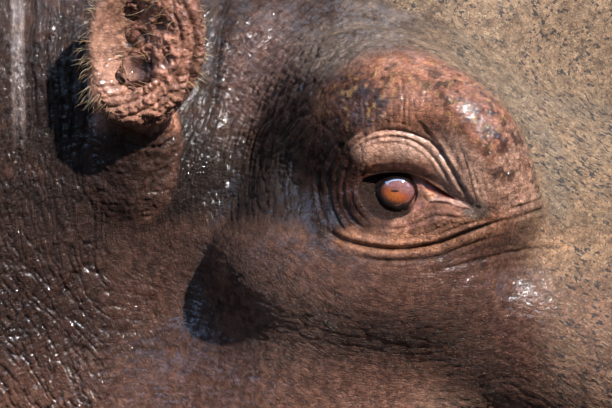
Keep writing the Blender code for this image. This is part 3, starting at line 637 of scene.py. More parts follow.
def split(tris, n, marked, edge_of):
    """Splits marked edges at their middles; the middles are numbered from n in the order of the marked edges."""
    middle = np.full(len(marked), -1)
    middle[marked] = n + np.arange(marked.sum())
    m = middle[edge_of]                       # middles of edges 01, 12, 20
    has = m >= 0
    count = has.sum(1)
    out = [tris[count == 0]]
    t3, m3 = tris[count == 3], m[count == 3]
    out += [np.stack([t3[:, 0], m3[:, 0], m3[:, 2]], 1), np.stack([m3[:, 0], t3[:, 1], m3[:, 1]], 1),
            np.stack([m3[:, 2], m3[:, 1], t3[:, 2]], 1), m3]
    for k in range(3):
        one = (count == 1) & has[:, k]
        t, mm = np.roll(tris[one], -k, 1), m[one, k]
        out += [np.stack([t[:, 0], mm, t[:, 2]], 1), np.stack([mm, t[:, 1], t[:, 2]], 1)]
        two = (count == 2) & ~has[:, k]       # edge k whole: rolled so that it is edge 0
        t, mr = np.roll(tris[two], -k, 1), np.roll(m[two], -k, 1)
        out += [np.stack([t[:, 2], mr[:, 2], mr[:, 1]], 1), np.stack([t[:, 0], mr[:, 1], mr[:, 2]], 1),
                np.stack([t[:, 0], t[:, 1], mr[:, 1]], 1)]
    return np.concatenate(out)


def neighbours_mean(values, tris, n):
    total, count = np.zeros((n,) + values.shape[1:]), np.zeros(n)
    for a, b in ((0, 1), (1, 2), (2, 0)):
        for i, j in ((a, b), (b, a)):
            if values.ndim == 1:
                total += np.bincount(tris[:, i], values[tris[:, j]], n)
            else:
                for c in range(values.shape[1]):
                    total[:, c] += np.bincount(tris[:, i], values[tris[:, j], c], n)
            count += np.bincount(tris[:, i], minlength=n)
    return total / (count if values.ndim == 1 else count[:, None])


# =====================================================================================================
# The skin's own mesh: coarse net, then edges split until each is as short as its place needs
# =====================================================================================================
FRAME_MM = (612 * STEP_MM, 408 * STEP_MM)


def fineness(p, n):
    """Wanted edge length in mm."""
    u, v, z = chart(p)
    facing = n.copy()
    facing[:, 1] = np.where(p[:, 1] > 0, -facing[:, 1], facing[:, 1])
    facing = facing @ C_BACK
    out_u = np.maximum(np.maximum(-12 - u, u - 624), 0) * STEP_MM
    out_v = np.maximum(np.maximum(-12 - v, v - 420), 0) * STEP_MM
    outside = np.hypot(out_u, out_v)
    seen = ramp(facing, -0.25, 0.0) * ramp(z, -330, -250)
    eye = np.hypot((u - 412) * STEP_MM, (v - 190) * STEP_MM)
    h = 1.12 - 0.46 * ramp(eye, 75, 38) * ramp(z, -60, -30)
    h = h - 0.28 * ramp(u, 222, 204) * ramp(v, 150, 128) * ramp(u, 70, 86) * ramp(z, -100, -75)
    h = h + outside * 0.055 + (1 - seen) * 2.4
    left = p[:, 1] > 0.012
    h = np.where(left, 2.6 + outside * 0.055 + (1 - seen) * 1.8 - 0.7 * ramp(eye, 75, 30) * ramp(z, -60, -30), h)
    # muzzle, mouth and nostrils, feet, tail; and a limit for the rest
    head = to_head(p)
    nose = np.linalg.norm((head - (0.46, 0, -0.05)) * (1, 0.8, 1), axis=1)
    h = np.minimum(h, 2.6 + 20 * np.maximum(nose - 0.16, 0))
    most = 11.0 - 6.0 * ramp(p[:, 2], 0.22, 0.12) - 4.5 * ramp(p[:, 0], 0.62, 0.95) - 4.5 * ramp(p[:, 0], -1.45, -1.52)
    return np.minimum(h, most)


def normals_of(p, tris):
    n = len(p)
    f = np.cross(p[tris[:, 1]] - p[tris[:, 0]], p[tris[:, 2]] - p[tris[:, 0]])
    out = np.zeros((n, 3))
    for k in range(3):
        for c in range(3):
            out[:, c] += np.bincount(tris[:, k], f[:, c], n)
    return out / (np.linalg.norm(out, axis=1)[:, None] + 1e-20)


def relax(p, tris, fixed, strength=0.5):
    """Evens the triangles out along the surface."""
    n = normals_of(p, tris)
    move = neighbours_mean(p, tris, len(p)) - p
    move -= (move * n).sum(1)[:, None] * n
    move[fixed] = 0
    return p + move * strength


def skin_mesh():
    lo, hi = (-1.643, -0.603, -0.0315), (1.80, 0.60, 1.49)
    cell = 0.0105
    p, quads = netted(sampled(lambda q: hide(q, fat=0.0042), lo, hi, cell), lo, cell)
    tris = np.concatenate([quads[:, [0, 1, 2]], quads[:, [0, 2, 3]]])
    p = settle(lambda q: hide(q, fat=0.0030), p)
    for step in range(6):
        n = normals_of(p, tris)
        e0, e1, edge_of = edges_of(tris, len(p))
        mid = (p[e0] + p[e1]) / 2
        h = fineness(mid, n[e0]) / 1000.0
        u, v, z = chart(mid)
        long = np.linalg.norm(p[e0] - p[e1], axis=1)
        if step > 2:
            near = (np.abs(u - 408) < 78) & (np.abs(v - 178) < 62) & (z > -60)
            i = np.flatnonzero(near)
            long[i] = np.linalg.norm(carve(p[e0[i]]) - carve(p[e1[i]]), axis=1) * 0.8
        marked = long > 1.36 * h
        if not marked.any():
            break
        fresh = settle(lambda q: hide(q, fat=0.0015 if step == 0 else 0.0), mid[marked], steps=1, eps=0.0006)
        tris = split(tris, len(p), marked, edge_of)
        p = np.concatenate([p, fresh])
        p = relax(p, tris, p[:, 2] < 0.002, 0.45)
        if step == 0:
            p = settle(hide, p, steps=2)
    p = relax(p, tris, p[:, 2] < 0.002, 0.5)
    p = settle(hide, p, steps=1, eps=0.0006)
    return p, tris


# =====================================================================================================
# Relief of the side of the head, worked out on a sheet over the chart: combed noise for the wrinkles
# that run together, and folds along curves
# =====================================================================================================
GU0, GV0, GS, NU, NV = -110.0, -150.0, 0.7, 1190, 1000
GU, GV = (a.ravel() for a in np.meshgrid(GU0 + GS * np.arange(NU), GV0 + GS * np.arange(NV), indexing="ij"))


def read(sheet, u, v):
    x = np.clip((u - GU0) / GS, 0, NU - 1.01)
    y = np.clip((v - GV0) / GS, 0, NV - 1.01)
    i, j = x.astype(np.int64), y.astype(np.int64)
    fx, fy, k = x - i, y - j, i * NV + j
    return (sheet[k] * (1 - fy) + sheet[k + 1] * fy) * (1 - fx) + (sheet[k + NV] * (1 - fy) + sheet[k + NV + 1] * fy) * fx


def grain(cell, seed, u=None, v=None):
    """Smooth 2-D noise over the sheet with cells of this many grid units."""
    x, y = (GU if u is None else u) / cell, (GV if v is None else v) / cell
    i, j = np.floor(x).astype(np.int64), np.floor(y).astype(np.int64)
    fx, fy = x - i, y - j
    fx, fy = fx * fx * (3 - 2 * fx), fy * fy * (3 - 2 * fy)
    c = [hashed(i + a, j + b, 0, seed) / 2147483647.5 - 1.0 for a in (0, 1) for b in (0, 1)]
    return (c[0] * (1 - fy) + c[1] * fy) * (1 - fx) + (c[2] * (1 - fy) + c[3] * fy) * fx


def combed(sheet, angle, reach):
    """The sheet drawn out along the directions, and brought to unit spread."""
    c, s = np.cos(angle), np.sin(angle)
    for step in (reach / 13, reach * 3 / 13, reach * 9 / 13):
        sheet = (sheet + read(sheet, GU + c * step, GV + s * step) + read(sheet, GU - c * step, GV - s * step)) / 3
    return (sheet - sheet.mean()) / sheet.std()


def blended(layers):
    """Angle field from (weight, angle) pairs; a direction and its opposite count as the same."""
    a = sum(w * np.cos(2 * t) for w, t in layers)
    b = sum(w * np.sin(2 * t) for w, t in layers)
    return np.arctan2(b, a) / 2


def oval(u, v, cu, cv, ru, rv, turn=0.0):
    c, s = math.cos(math.radians(turn)), math.sin(math.radians(turn))
    x, y = u - cu, v - cv
    return np.hypot((x * c + y * s) / ru, (-x * s + y * c) / rv)


def creased(n, w):
    return np.exp(-(n / w) ** 2)


def fold(sheet, points, depth, width, lips=(0.0, 0.0), gap=3.0, spread=2.6, fade=(0.15, 0.15), wave=0.0, per=6):
    """A groove along a curve with a swelling on each side; a negative depth makes a ridge.
    lips: heights on the left (above a curve drawn to the right) and on the right."""
    line = spline(points, per)
    if wave:
        k = np.arange(len(line))
        line = line + np.stack([np.sin(k * 1.7 + points[0][0]), np.cos(k * 1.3 + points[0][1])], 1) * wave
    pad = gap + spread * 2.5 + width * 3
    i0, i1 = (int(np.clip((f - GU0) / GS, 0, NU - 1)) for f in (line[:, 0].min() - pad, line[:, 0].max() + pad))
    j0, j1 = (int(np.clip((f - GV0) / GS, 0, NV - 1)) for f in (line[:, 1].min() - pad, line[:, 1].max() + pad))
    k = (np.arange(i0, i1 + 1)[:, None] * NV + np.arange(j0, j1 + 1)[None, :]).ravel()
    d, t = along(line, GU[k], GV[k])
    end = ramp(t, 0.0, fade[0]) * ramp(t, 1.0, 1.0 - fade[1])
    h = -depth * np.exp(-(np.abs(d) / width) ** 1.35)
    for lip, way in ((lips[0], 1), (lips[1], -1)):
        if lip:
            h = h + lip * np.exp(-((d * way - gap) / spread) ** 2)
    sheet[k] += h * end


CREST = spline([(300, 150), (318, 118), (345, 88), (372, 69), (400, 62), (430, 68), (460, 83), (490, 107), (515, 133), (532, 160), (541, 190)], 6)
SAG_U = [250, 320, 345, 370, 400, 430, 460, 480, 500, 540, 612, 680]
SAG_SLOPE = [0.30, 0.75, 0.55, 0.30, 0.05, -0.15, -0.42, -0.52, -0.42, -0.26, -0.18, -0.10]


def face_relief():
    """Heights in mm over the chart: of the brow dome and lids (near), and of what lies behind them (far)."""
    r_eye = np.hypot(GU - 418, (GV - 195) * 1.08)
    ring = np.arctan2(GV - 195, GU - 418) + math.pi / 2
    spoke = np.arctan2(GV - 246, GU - 404)
    sag = np.arctan(hermite(GU, SAG_U, SAG_SLOPE) * ramp(GV, 420, 240))
    neck = ramp(GU, 112, 86)
    low = ramp(GV + 0.12 * (GU - 400), 214, 236) * ramp(GU, 150, 260) + ramp(GV, 230, 300)
    low = np.clip(low, 0, 1)
    dome = ramp(oval(GU, GV, 430, 142, 118, 92, 14), 1.10, 0.86)
    snout = ramp(GU, 488, 512) * ramp(GV, 165, 198)
    muzzle = np.arctan2((GV - 212) * 0.7, GU - 470)
    wide = ramp(r_eye, 150, 280) * ramp(GU, 380, 470)
    base = [(1.0, ring), (8 * neck, np.full_like(GU, math.radians(84))), (7 * low, sag), (6 * snout, muzzle)]
    far_way = blended(base + [(3.0 * wide, np.full_like(GU, math.radians(24)))])
    near_way = blended(base + [(5.0 * dome * ramp(GV, 172, 140), spoke)])

    sway = grain(46, 5) * 0.22
    layers = {}
    with ThreadPoolExecutor(4) as workers:
        jobs = {
            "far5": workers.submit(lambda: combed(grain(4.6, 11), far_way + sway, 17)),
            "far3": workers.submit(lambda: combed(grain(2.8, 12), far_way - sway, 11)),
            "far_x": workers.submit(lambda: combed(grain(4.4, 13), far_way + math.pi / 2 + sway, 9)),
            "near6": workers.submit(lambda: combed(grain(5.6, 21), near_way + sway, 19)),
            "near3": workers.submit(lambda: combed(grain(3.0, 22), near_way - sway, 12)),
            "near_x": workers.submit(lambda: combed(grain(4.2, 23), near_way + math.pi / 2 - sway, 12)),
            "x3": workers.submit(lambda: combed(grain(2.8, 24), near_way + math.pi / 2 + sway, 8)),
        }
        layers = {k: j.result() for k, j in jobs.items()}
    far5, far3, far_x, near6, near3, near_x, x3 = (layers[k] for k in ("far5", "far3", "far_x", "near6", "near3", "near_x", "x3"))

    # how strongly each place is wrinkled
    valley = ramp(GU, 392, 330) * ramp(GV, 232, 205) * (1 - neck)
    valley = np.maximum(valley, ramp(GV, 62, 36) * ramp(GU, 470, 400) * (1 - neck))
    puffy = ramp(oval(GU, GV, 275, 70, 74, 92, 24), 1.15, 0.6)
    orbit = ramp(oval(GU, GV, 336, 186, 34, 62, -4), 1.2, 0.7)
    brow = 1 - ramp(oval(GU, GV, 400, 160, 46, 26), 1.35, 1.0)     # the smooth lid
    left_brow = ramp(oval(GU, GV, 352, 102, 52, 40, -24), 1.2, 0.6)
    lid = ramp(oval(GU, GV, 402, 164, 44, 17, 8), 1.2, 0.8)
    pouch = ramp(oval(GU, GV, 420, 233, 88, 18, -4), 1.2, 0.8)
    cluster = ramp(oval(GU, GV, 522, 168, 40, 44, 30), 1.25, 0.6)
    corner = ramp(oval(GU, GV, 486, 208, 26, 14), 1.3, 0.7)
    dry = (1 - valley) * (1 - low) * (1 - neck) * ramp(GU, 380, 440)
    knots = grain(9.5, 31) * 0.7 + grain(5.2, 32) * 0.5

    far = np.zeros_like(GU)
    far -= (0.28 + 0.75 * valley + 0.5 * puffy) * creased(far5, 0.42) * (1 - 0.72 * dry) * (1 - 0.5 * low)
    far -= (0.10 + 0.28 * valley + 0.30 * puffy) * creased(far_x, 0.40) * (1 - dry)
    far += 0.10 * far3 * (1 + valley) + 0.42 * puffy * knots
    far -= low * 0.38 * creased(far5, 0.40) + low * 0.14 * creased(far_x, 0.30)
    far -= neck * (1.15 * creased(far5, 0.50) + 0.35 * creased(far_x, 0.35))
    far += dry * (0.10 * far5 + 0.12 * far3 + 0.12 * np.maximum(grain(5.0, 41) - 0.35, 0) * 3)

    near = np.zeros_like(GU)
    wrinkled = dome * (1 - lid)
    near -= wrinkled * (0.20 + 0.16 * ramp(GV, 140, 90)) * creased(near6, 0.30)
    near -= wrinkled * 0.15 * creased(near_x, 0.26) + wrinkled * 0.06 * creased(x3, 0.4)
    near += (0.05 + 0.05 * wrinkled) * near3
    near -= orbit * 0.55 * creased(near6, 0.42)
    near -= (1 - dome) * (1 - orbit) * ((0.30 + 0.65 * valley + 0.4 * puffy) * creased(far5, 0.42) + (0.08 + 0.26 * valley) * creased(far_x, 0.4)) * (1 - 0.55 * low)
    near += left_brow * (0.30 * knots - 0.30 * creased(near_x, 0.35))
    near -= low * 0.30 * creased(near6, 0.34) + low * 0.10 * creased(near_x, 0.30)
    near -= pouch * (0.18 * creased(near_x, 0.22) + 0.12 * creased(near3, 0.4))
    near += cluster * (0.55 * knots - 0.45 * creased(near6, 0.4) - 0.3 * creased(near_x, 0.35))
    near -= corner * 0.45 * creased(near3, 0.5)
    near -= lid * (0.05 * creased(near3, 0.5) + 0.10 * ramp(GV, 166, 152) * creased(near6, 0.35))
    near += snout * 0.10 * far3
    wet_crest = ramp(oval(GU, GV, 482, 116, 42, 22, 48), 1.2, 0.5)
    near += wet_crest * 0.34 * knots

    # lids and the folds over them
    fold(near, [(334, 186), (338, 168), (345, 155), (356, 142), (370, 134), (386, 130.5), (402, 131.5), (417, 136), (431, 143), (441, 154),
                (450, 169), (458, 184), (467, 197), (475, 206)], 1.7, 1.3, lips=(0.3, 0.7), gap=3.6, spread=2.4, fade=(0.22, 0.10))
    fold(near, [(352, 156), (363, 144), (377, 138.5), (392, 137), (404, 138.5), (418, 144), (431, 156), (441, 169), (449, 181), (457, 192)],
         1.1, 1.2, lips=(0.2, 0.4), gap=3.0, spread=2.2, fade=(0.2, 0.25))
    fold(near, [(366, 148), (380, 144), (396, 143.5), (410, 147), (424, 157), (436, 170)], 0.55, 1.1, fade=(0.3, 0.35))
    fold(near, [(413, 110), (419, 118), (427, 127), (437, 139), (446, 153), (457, 171), (468, 190)], -0.7, 2.3, lips=(-0.2, -0.5), gap=4.0, spread=2.2, fade=(0.25, 0.25))
    fold(near, [(458, 138), (461, 152), (466, 168), (471, 186), (476, 203)], 0.62, 1.2, lips=(0.3, 0.4), gap=4.2, spread=2.6, fade=(0.3, 0.12))
    fold(near, [(466, 156), (472, 172), (477, 188), (482, 203)], 0.52, 1.1, lips=(0.2, 0.4), gap=3.4, spread=2.2, fade=(0.3, 0.15))
    fold(near, [(476, 166), (482, 182), (486, 200)], 0.65, 1.0, lips=(0.2, 0.3), fade=(0.35, 0.2))
    # folds round the outer corner
    fold(near, [(372, 126), (358, 133), (344, 143), (334, 158), (329, 180), (331, 204), (341, 226), (357, 241)], 2.0, 1.8, lips=(0.8, 0.5), fade=(0.25, 0.2))
    fold(near, [(346, 136), (332, 148), (322, 164), (318, 186), (321, 210), (331, 229)], 1.4, 1.6, lips=(0.5, 0.5), fade=(0.25, 0.25))
    fold(near, [(354, 158), (346, 172), (343, 190), (346, 208), (355, 222), (369, 232)], 1.3, 1.5, lips=(0.4, 0.5), fade=(0.3, 0.25))
    fold(near, [(352, 182), (351, 194), (355, 207), (364, 219), (376, 226)], 0.6, 1.2, lips=(0.2, 0.2), fade=(0.3, 0.3))
    # under the lower lid
    fold(near, [(376, 229), (393, 229), (408, 226), (422, 220), (433, 216), (446, 216), (459, 218), (470, 216)], 1.7, 1.5, lips=(0.9, 0.5), gap=3.4, fade=(0.25, 0.2))
    fold(near, [(322, 222), (331, 233), (345, 240), (367, 246), (393, 249), (417, 247.5), (442, 242), (465, 233), (483, 227), (503, 221), (525, 217)],
         3.0, 2.1, lips=(1.5, 0.7), gap=5.0, spread=3.6, fade=(0.12, 0.25))
    fold(near, [(340, 252), (366, 259), (400, 261), (436, 257), (462, 248), (486, 240), (520, 232)], 1.5, 1.7, lips=(0.7, 0.4), gap=4.4, spread=3.0, fade=(0.25, 0.3))
    fold(near, [(426, 239), (446, 232), (466, 224), (484, 220), (502, 218)], 1.0, 1.2, lips=(0.4, 0.3), fade=(0.3, 0.3))
    fold(near, [(404, 240), (424, 235), (444, 226), (460, 222)], 0.6, 1.1, lips=(0.2, 0.2), fade=(0.3, 0.3))
    fold(near, [(500, 213), (514, 208), (533, 202), (560, 193), (590, 186), (625, 180)], 1.3, 1.4, lips=(0.9, 0.6), gap=3.0, fade=(0.15, 0.2))
    fold(near, [(506, 222), (530, 214), (560, 206), (600, 200), (640, 197)], 1.6, 1.7, lips=(0.7, 0.6), gap=4.0, spread=3.0, fade=(0.2, 0.2))
    fold(near, [(380, 276), (430, 272), (480, 260), (530, 250), (590, 244), (650, 240)], 1.2, 1.8, lips=(0.6, 0.5), gap=4.6, spread=3.4, fade=(0.3, 0.2))
    # upright creases of the brow
    for u0, v0, u1, v1, d in ((374, 92, 374, 130, 0.8), (386, 82, 387, 130, 0.7), (401, 74, 401, 128, 1.1), (409, 92, 408, 128, 0.5), (416, 84, 413, 122, 0.6),
                              (424, 80, 421, 112, 0.5), (433, 86, 428, 118, 0.4), (361, 100, 364, 132, 0.6), (444, 96, 437, 128, 0.45), (455, 104, 446, 138, 0.45),
                              (466, 112, 456, 142, 0.4), (392, 96, 393, 127, 0.35), (476, 128, 468, 152, 0.4), (489, 140, 478, 172, 0.5)):
        bend = 1.6 * math.sin(u0 * 1.9)
        fold(near, [(u0, v0), ((u0 + u1) / 2 + bend, (v0 + v1) / 2), (u1, v1)], d, 0.95, lips=(0.10, 0.22), gap=2.2, spread=1.4, fade=(0.3, 0.2), wave=0.35)
    for n in range(5):
        v0 = 104 + 6.2 * n
        fold(near, [(352 + 3 * n, v0 + 4), (378, v0 - 1), (402, v0 + 0.6 * n), (424, v0 + 3 + n)], 0.28, 0.8, fade=(0.3, 0.35), wave=0.5)

    # behind and beside the dome
    shared = np.zeros_like(GU)
    fold(shared, [(236, -40), (222, 0), (215, 40), (213, 80), (207, 112), (196, 138)], 3.5, 4.0, lips=(0.0, 1.4), gap=9, spread=7, fade=(0.2, 0.2))
    for k, (a, d) in enumerate(((0, 1.2), (9, 1.0), (19, 1.3), (28, 0.9), (39, 1.2), (50, 0.8), (61, 0.9))):
        fold(shared, [(214 + a, 196), (221 + a, 150), (236 + a, 108 - a * 0.15), (262 + a * 0.85, 70 - a * 0.3), (300 + a * 0.5, 38 - a * 0.35), (352, 14 - a * 0.3), (405, 4 - a * 0.4)],
             d, 1.3, lips=(0.35, 0.35), gap=2.6, spread=1.8, fade=(0.25, 0.3), wave=0.6)
    for k, u0 in enumerate((6, 17, 24, 39, 52, 63, 76)):
        fold(shared, [(u0 - 4, -60), (u0 + 2, 0), (u0 - 1, 50), (u0 + 4, 110), (u0 + 2, 170)], (1.4, 1.0, 3.6, 1.4, 1.1, 1.7, 1.2)[k], (1.8, 1.5, 3.0, 1.6, 1.5, 1.8, 1.4)[k],
             lips=(0.5, 0.5), gap=3.6, spread=2.2, fade=(0.1, 0.25), wave=0.8)
    creases = {"near": near + shared, "far": far + shared}
    return creases


EAR_FOLDS = (
    ([(176, -8), (189, 14), (195, 40), (191, 72), (184, 97), (176, 114)], 4.2, 2.4, (1.0, 1.2)),
    ([(196, 18), (203, 44), (202, 70), (195, 90)], 1.6, 1.5, (0.5, 0.5)),
    ([(168, 4), (178, 26), (180, 52), (175, 78), (168, 96)], 1.8, 1.6, (0.8, 0.8)),
    ([(94, 98), (116, 94), (140, 85), (154, 74)], 1.5, 1.6, (0.9, 0.9)),
    ([(98, 108), (122, 103), (146, 92), (164, 78)], 1.7, 1.6, (0.9, 0.9)),
    ([(110, 118), (132, 113), (154, 102), (172, 88)], 1.5, 1.5, (0.8, 0.8)),
    ([(128, 126), (148, 121), (166, 110), (178, 96)], 1.3, 1.4, (0.6, 0.6)),
    ([(92, 86), (112, 84), (128, 78)], 1.0, 1.5, (0.6, 0.6)),
    ([(118, 140), (138, 146), (158, 144), (172, 134)], 1.4, 1.8, (0.7, 0.7)),
    ([(150, 150), (166, 142), (176, 128)], 1.0, 1.6, (0.5, 0.5)),
)


def ear_relief():
    sheet = np.zeros_like(GU)
    for points, depth, width, lips in EAR_FOLDS:
        fold(sheet, points, depth, width, lips=lips, gap=width * 2, spread=width * 1.5, fade=(0.2, 0.2), wave=0.3)
    # swollen edges of the clefts, and a pocket between them and the front lobe
    for cu, cv, ru, rv in ((135, 37, 12, 8.5), (139, 66, 15, 16)):
        q = oval(GU, GV, cu, cv, ru, rv, -12)
        sheet += 1.0 * np.exp(-((q - 1.35) / 0.22) ** 2)
    sheet -= 2.6 * ramp(oval(GU, GV, 158, 22, 7, 10, 20), 1.2, 0.4) + 2.2 * ramp(oval(GU, GV, 163, 60, 6, 9, 15), 1.2, 0.4)
    return sheet


def on_ear(p):
    """1 on the ears, 0 on the head. p before the shift."""
    h = to_head(p)
    h[:, 1] = np.maximum(np.abs(h[:, 1]) - HEAD_SPREAD, 0.0)
    near = np.flatnonzero(np.linalg.norm(h - EAR_MIDDLE + EAR_UP * 0.02, axis=1) < 0.13)
    out = np.zeros(len(p))
    if len(near):
        out[near] = ramp(np.abs(ear_field(h[near])), 0.010, 0.003)
    return out


def mouth_height(x):
    m = np.array(MOUTH)
    return hermite(x, m[:, 0], m[:, 1])


def body_folds(p, n):
    """Relief in mm of the body away from the chart, and the share of it that is crease."""
    x, y, z = p[:, 0], p[:, 1], p[:, 2]
    s = np.sign(y) * np.minimum(np.abs(y) * 8, 1)
    h = np.zeros(len(p))
    seam = np.zeros(len(p))

    def valley(f, where, depth, width, lip=0.35):
        nonlocal h, seam
        e = np.exp(-(np.abs(f) / width) ** 1.5)
        h += where * (-depth * e + depth * lip * (np.exp(-((f - 2.0 * width) / (1.3 * width)) ** 2) + np.exp(-((f + 2.0 * width) / (1.3 * width)) ** 2)))
        seam += where * e * np.minimum(depth / 6.0, 1.0)

    soft = clouds(p, 9.0, 91, 2) * 0.03
    tall = ramp(z, 0.55, 0.75) * ramp(z, 1.44, 1.30)
    # rings of the neck, slanting forwards as they go down
    for k, (x0, lean, d, w) in enumerate(((0.955, 0.10, 7, 0.011), (0.885, 0.12, 5, 0.009), (0.800, 0.16, 9, 0.013), (0.725, 0.14, 5, 0.009),
                                          (0.640, 0.20, 10, 0.014), (0.560, 0.22, 5, 0.010), (0.480, 0.30, 6, 0.012))):
        f = x - (x0 + lean * (1.05 - z)) + soft + 0.012 * np.sin(9 * z + 2.1 * k + s)
        valley(f, tall * ramp(z, 0.60, 0.85), d, w)
    # shoulder, elbow, flank, thigh
    side = ramp(np.abs(y), 0.16, 0.28)
    f = x - (0.215 - 0.55 * (z - 0.62) + 0.10 * np.sin(5 * z)) + soft
    valley(f, side * ramp(z, 0.42, 0.55) * ramp(z, 1.12, 0.86), 9, 0.015)
    f = x - (0.62 - 0.30 * (z - 0.6)) + soft
    valley(f, side * ramp(z, 0.45, 0.58) * ramp(z, 1.0, 0.8), 6, 0.013)
    f = x - (-0.77 - 0.34 * (z - 0.62)) + soft
    valley(f, side * ramp(z, 0.42, 0.52) * ramp(z, 1.06, 0.84), 9, 0.016)
    f = x - (-0.70 - 0.30 * (z - 0.62)) - soft
    valley(f, side * ramp(z, 0.44, 0.54) * ramp(z, 0.92, 0.74), 5, 0.012)
    f = x - (-1.315 + 0.16 * (z - 0.8)) - soft
    valley(f, side * ramp(z, 0.52, 0.66) * ramp(z, 1.12, 0.92), 6, 0.013)
    # rings of the legs and over the toes
    for z0, d in ((0.375, 4), (0.325, 5), (0.268, 5), (0.215, 4), (0.168, 4)):
        f = z - (z0 + 0.018 * np.sin(6 * x + 4 * y + 9 * z0)) + soft * 0.4
        valley(f, ramp(z, 0.46, 0.40), d, 0.008)
    # under the tail's root, along the tail
    f = z - (1.085 + 0.9 * np.abs(y))
    valley(f, ramp(x, -1.38, -1.46) * ramp(z, 0.95, 1.02), 5, 0.010)
    for k in range(9):
        f = z - (0.80 + 0.034 * k + 0.01 * np.sin(9.0 * k + x * 40))
        valley(f, ramp(x, -1.46, -1.50) * ramp(np.abs(y), 0.085, 0.06) * ramp(z, 1.12, 1.06), 1.6, 0.004)

    # wrinkles too many to place one by one: sheets of noise that cut the skin across
    q = p + np.stack([clouds(p, 14, 71, 2), clouds(p, 14, 72, 2), clouds(p, 14, 73, 2)], 1) * 0.012
    neck = ramp(x, 0.30, 0.60) * ramp(x, 1.06, 0.98)
    upright = noise(q * (1.0, 0.22, 0.22), 62, 81)
    level = noise(q * (0.2, 0.2, 1.0), 70, 82)
    crack = noise(q * (0.35, 1.0, 0.8), 60, 83)
    leg = ramp(z, 0.58, 0.42)
    flesh = 1 - leg
    h -= neck * 1.7 * creased(upright, 0.20) + flesh * (1 - neck) * 0.8 * creased(upright, 0.16)
    h -= leg * 1.5 * creased(level, 0.20) + flesh * 0.55 * creased(crack, 0.14)
    h += clouds(p, 5.5, 61, 3) * 3.2 * ramp(x, 0.9, 0.5) + clouds(p, 22, 62, 2) * 0.9 * ramp(x, 1.1, 0.6)
    seam += neck * 0.5 * creased(upright, 0.20) + leg * 0.4 * creased(level, 0.20)
    return h, np.clip(seam, 0, 1)


# =====================================================================================================
# Colours of the hide
# =====================================================================================================
def tone(r, g, b):
    c = np.array((r, g, b)) / 255.0
    return np.where(c <= 0.04045, c / 12.92, ((c + 0.055) / 1.055) ** 2.4)


def paint(base, colour, mask):
    return base + (tone(*colour) - base) * np.clip(mask, 0, 1)[:, None]


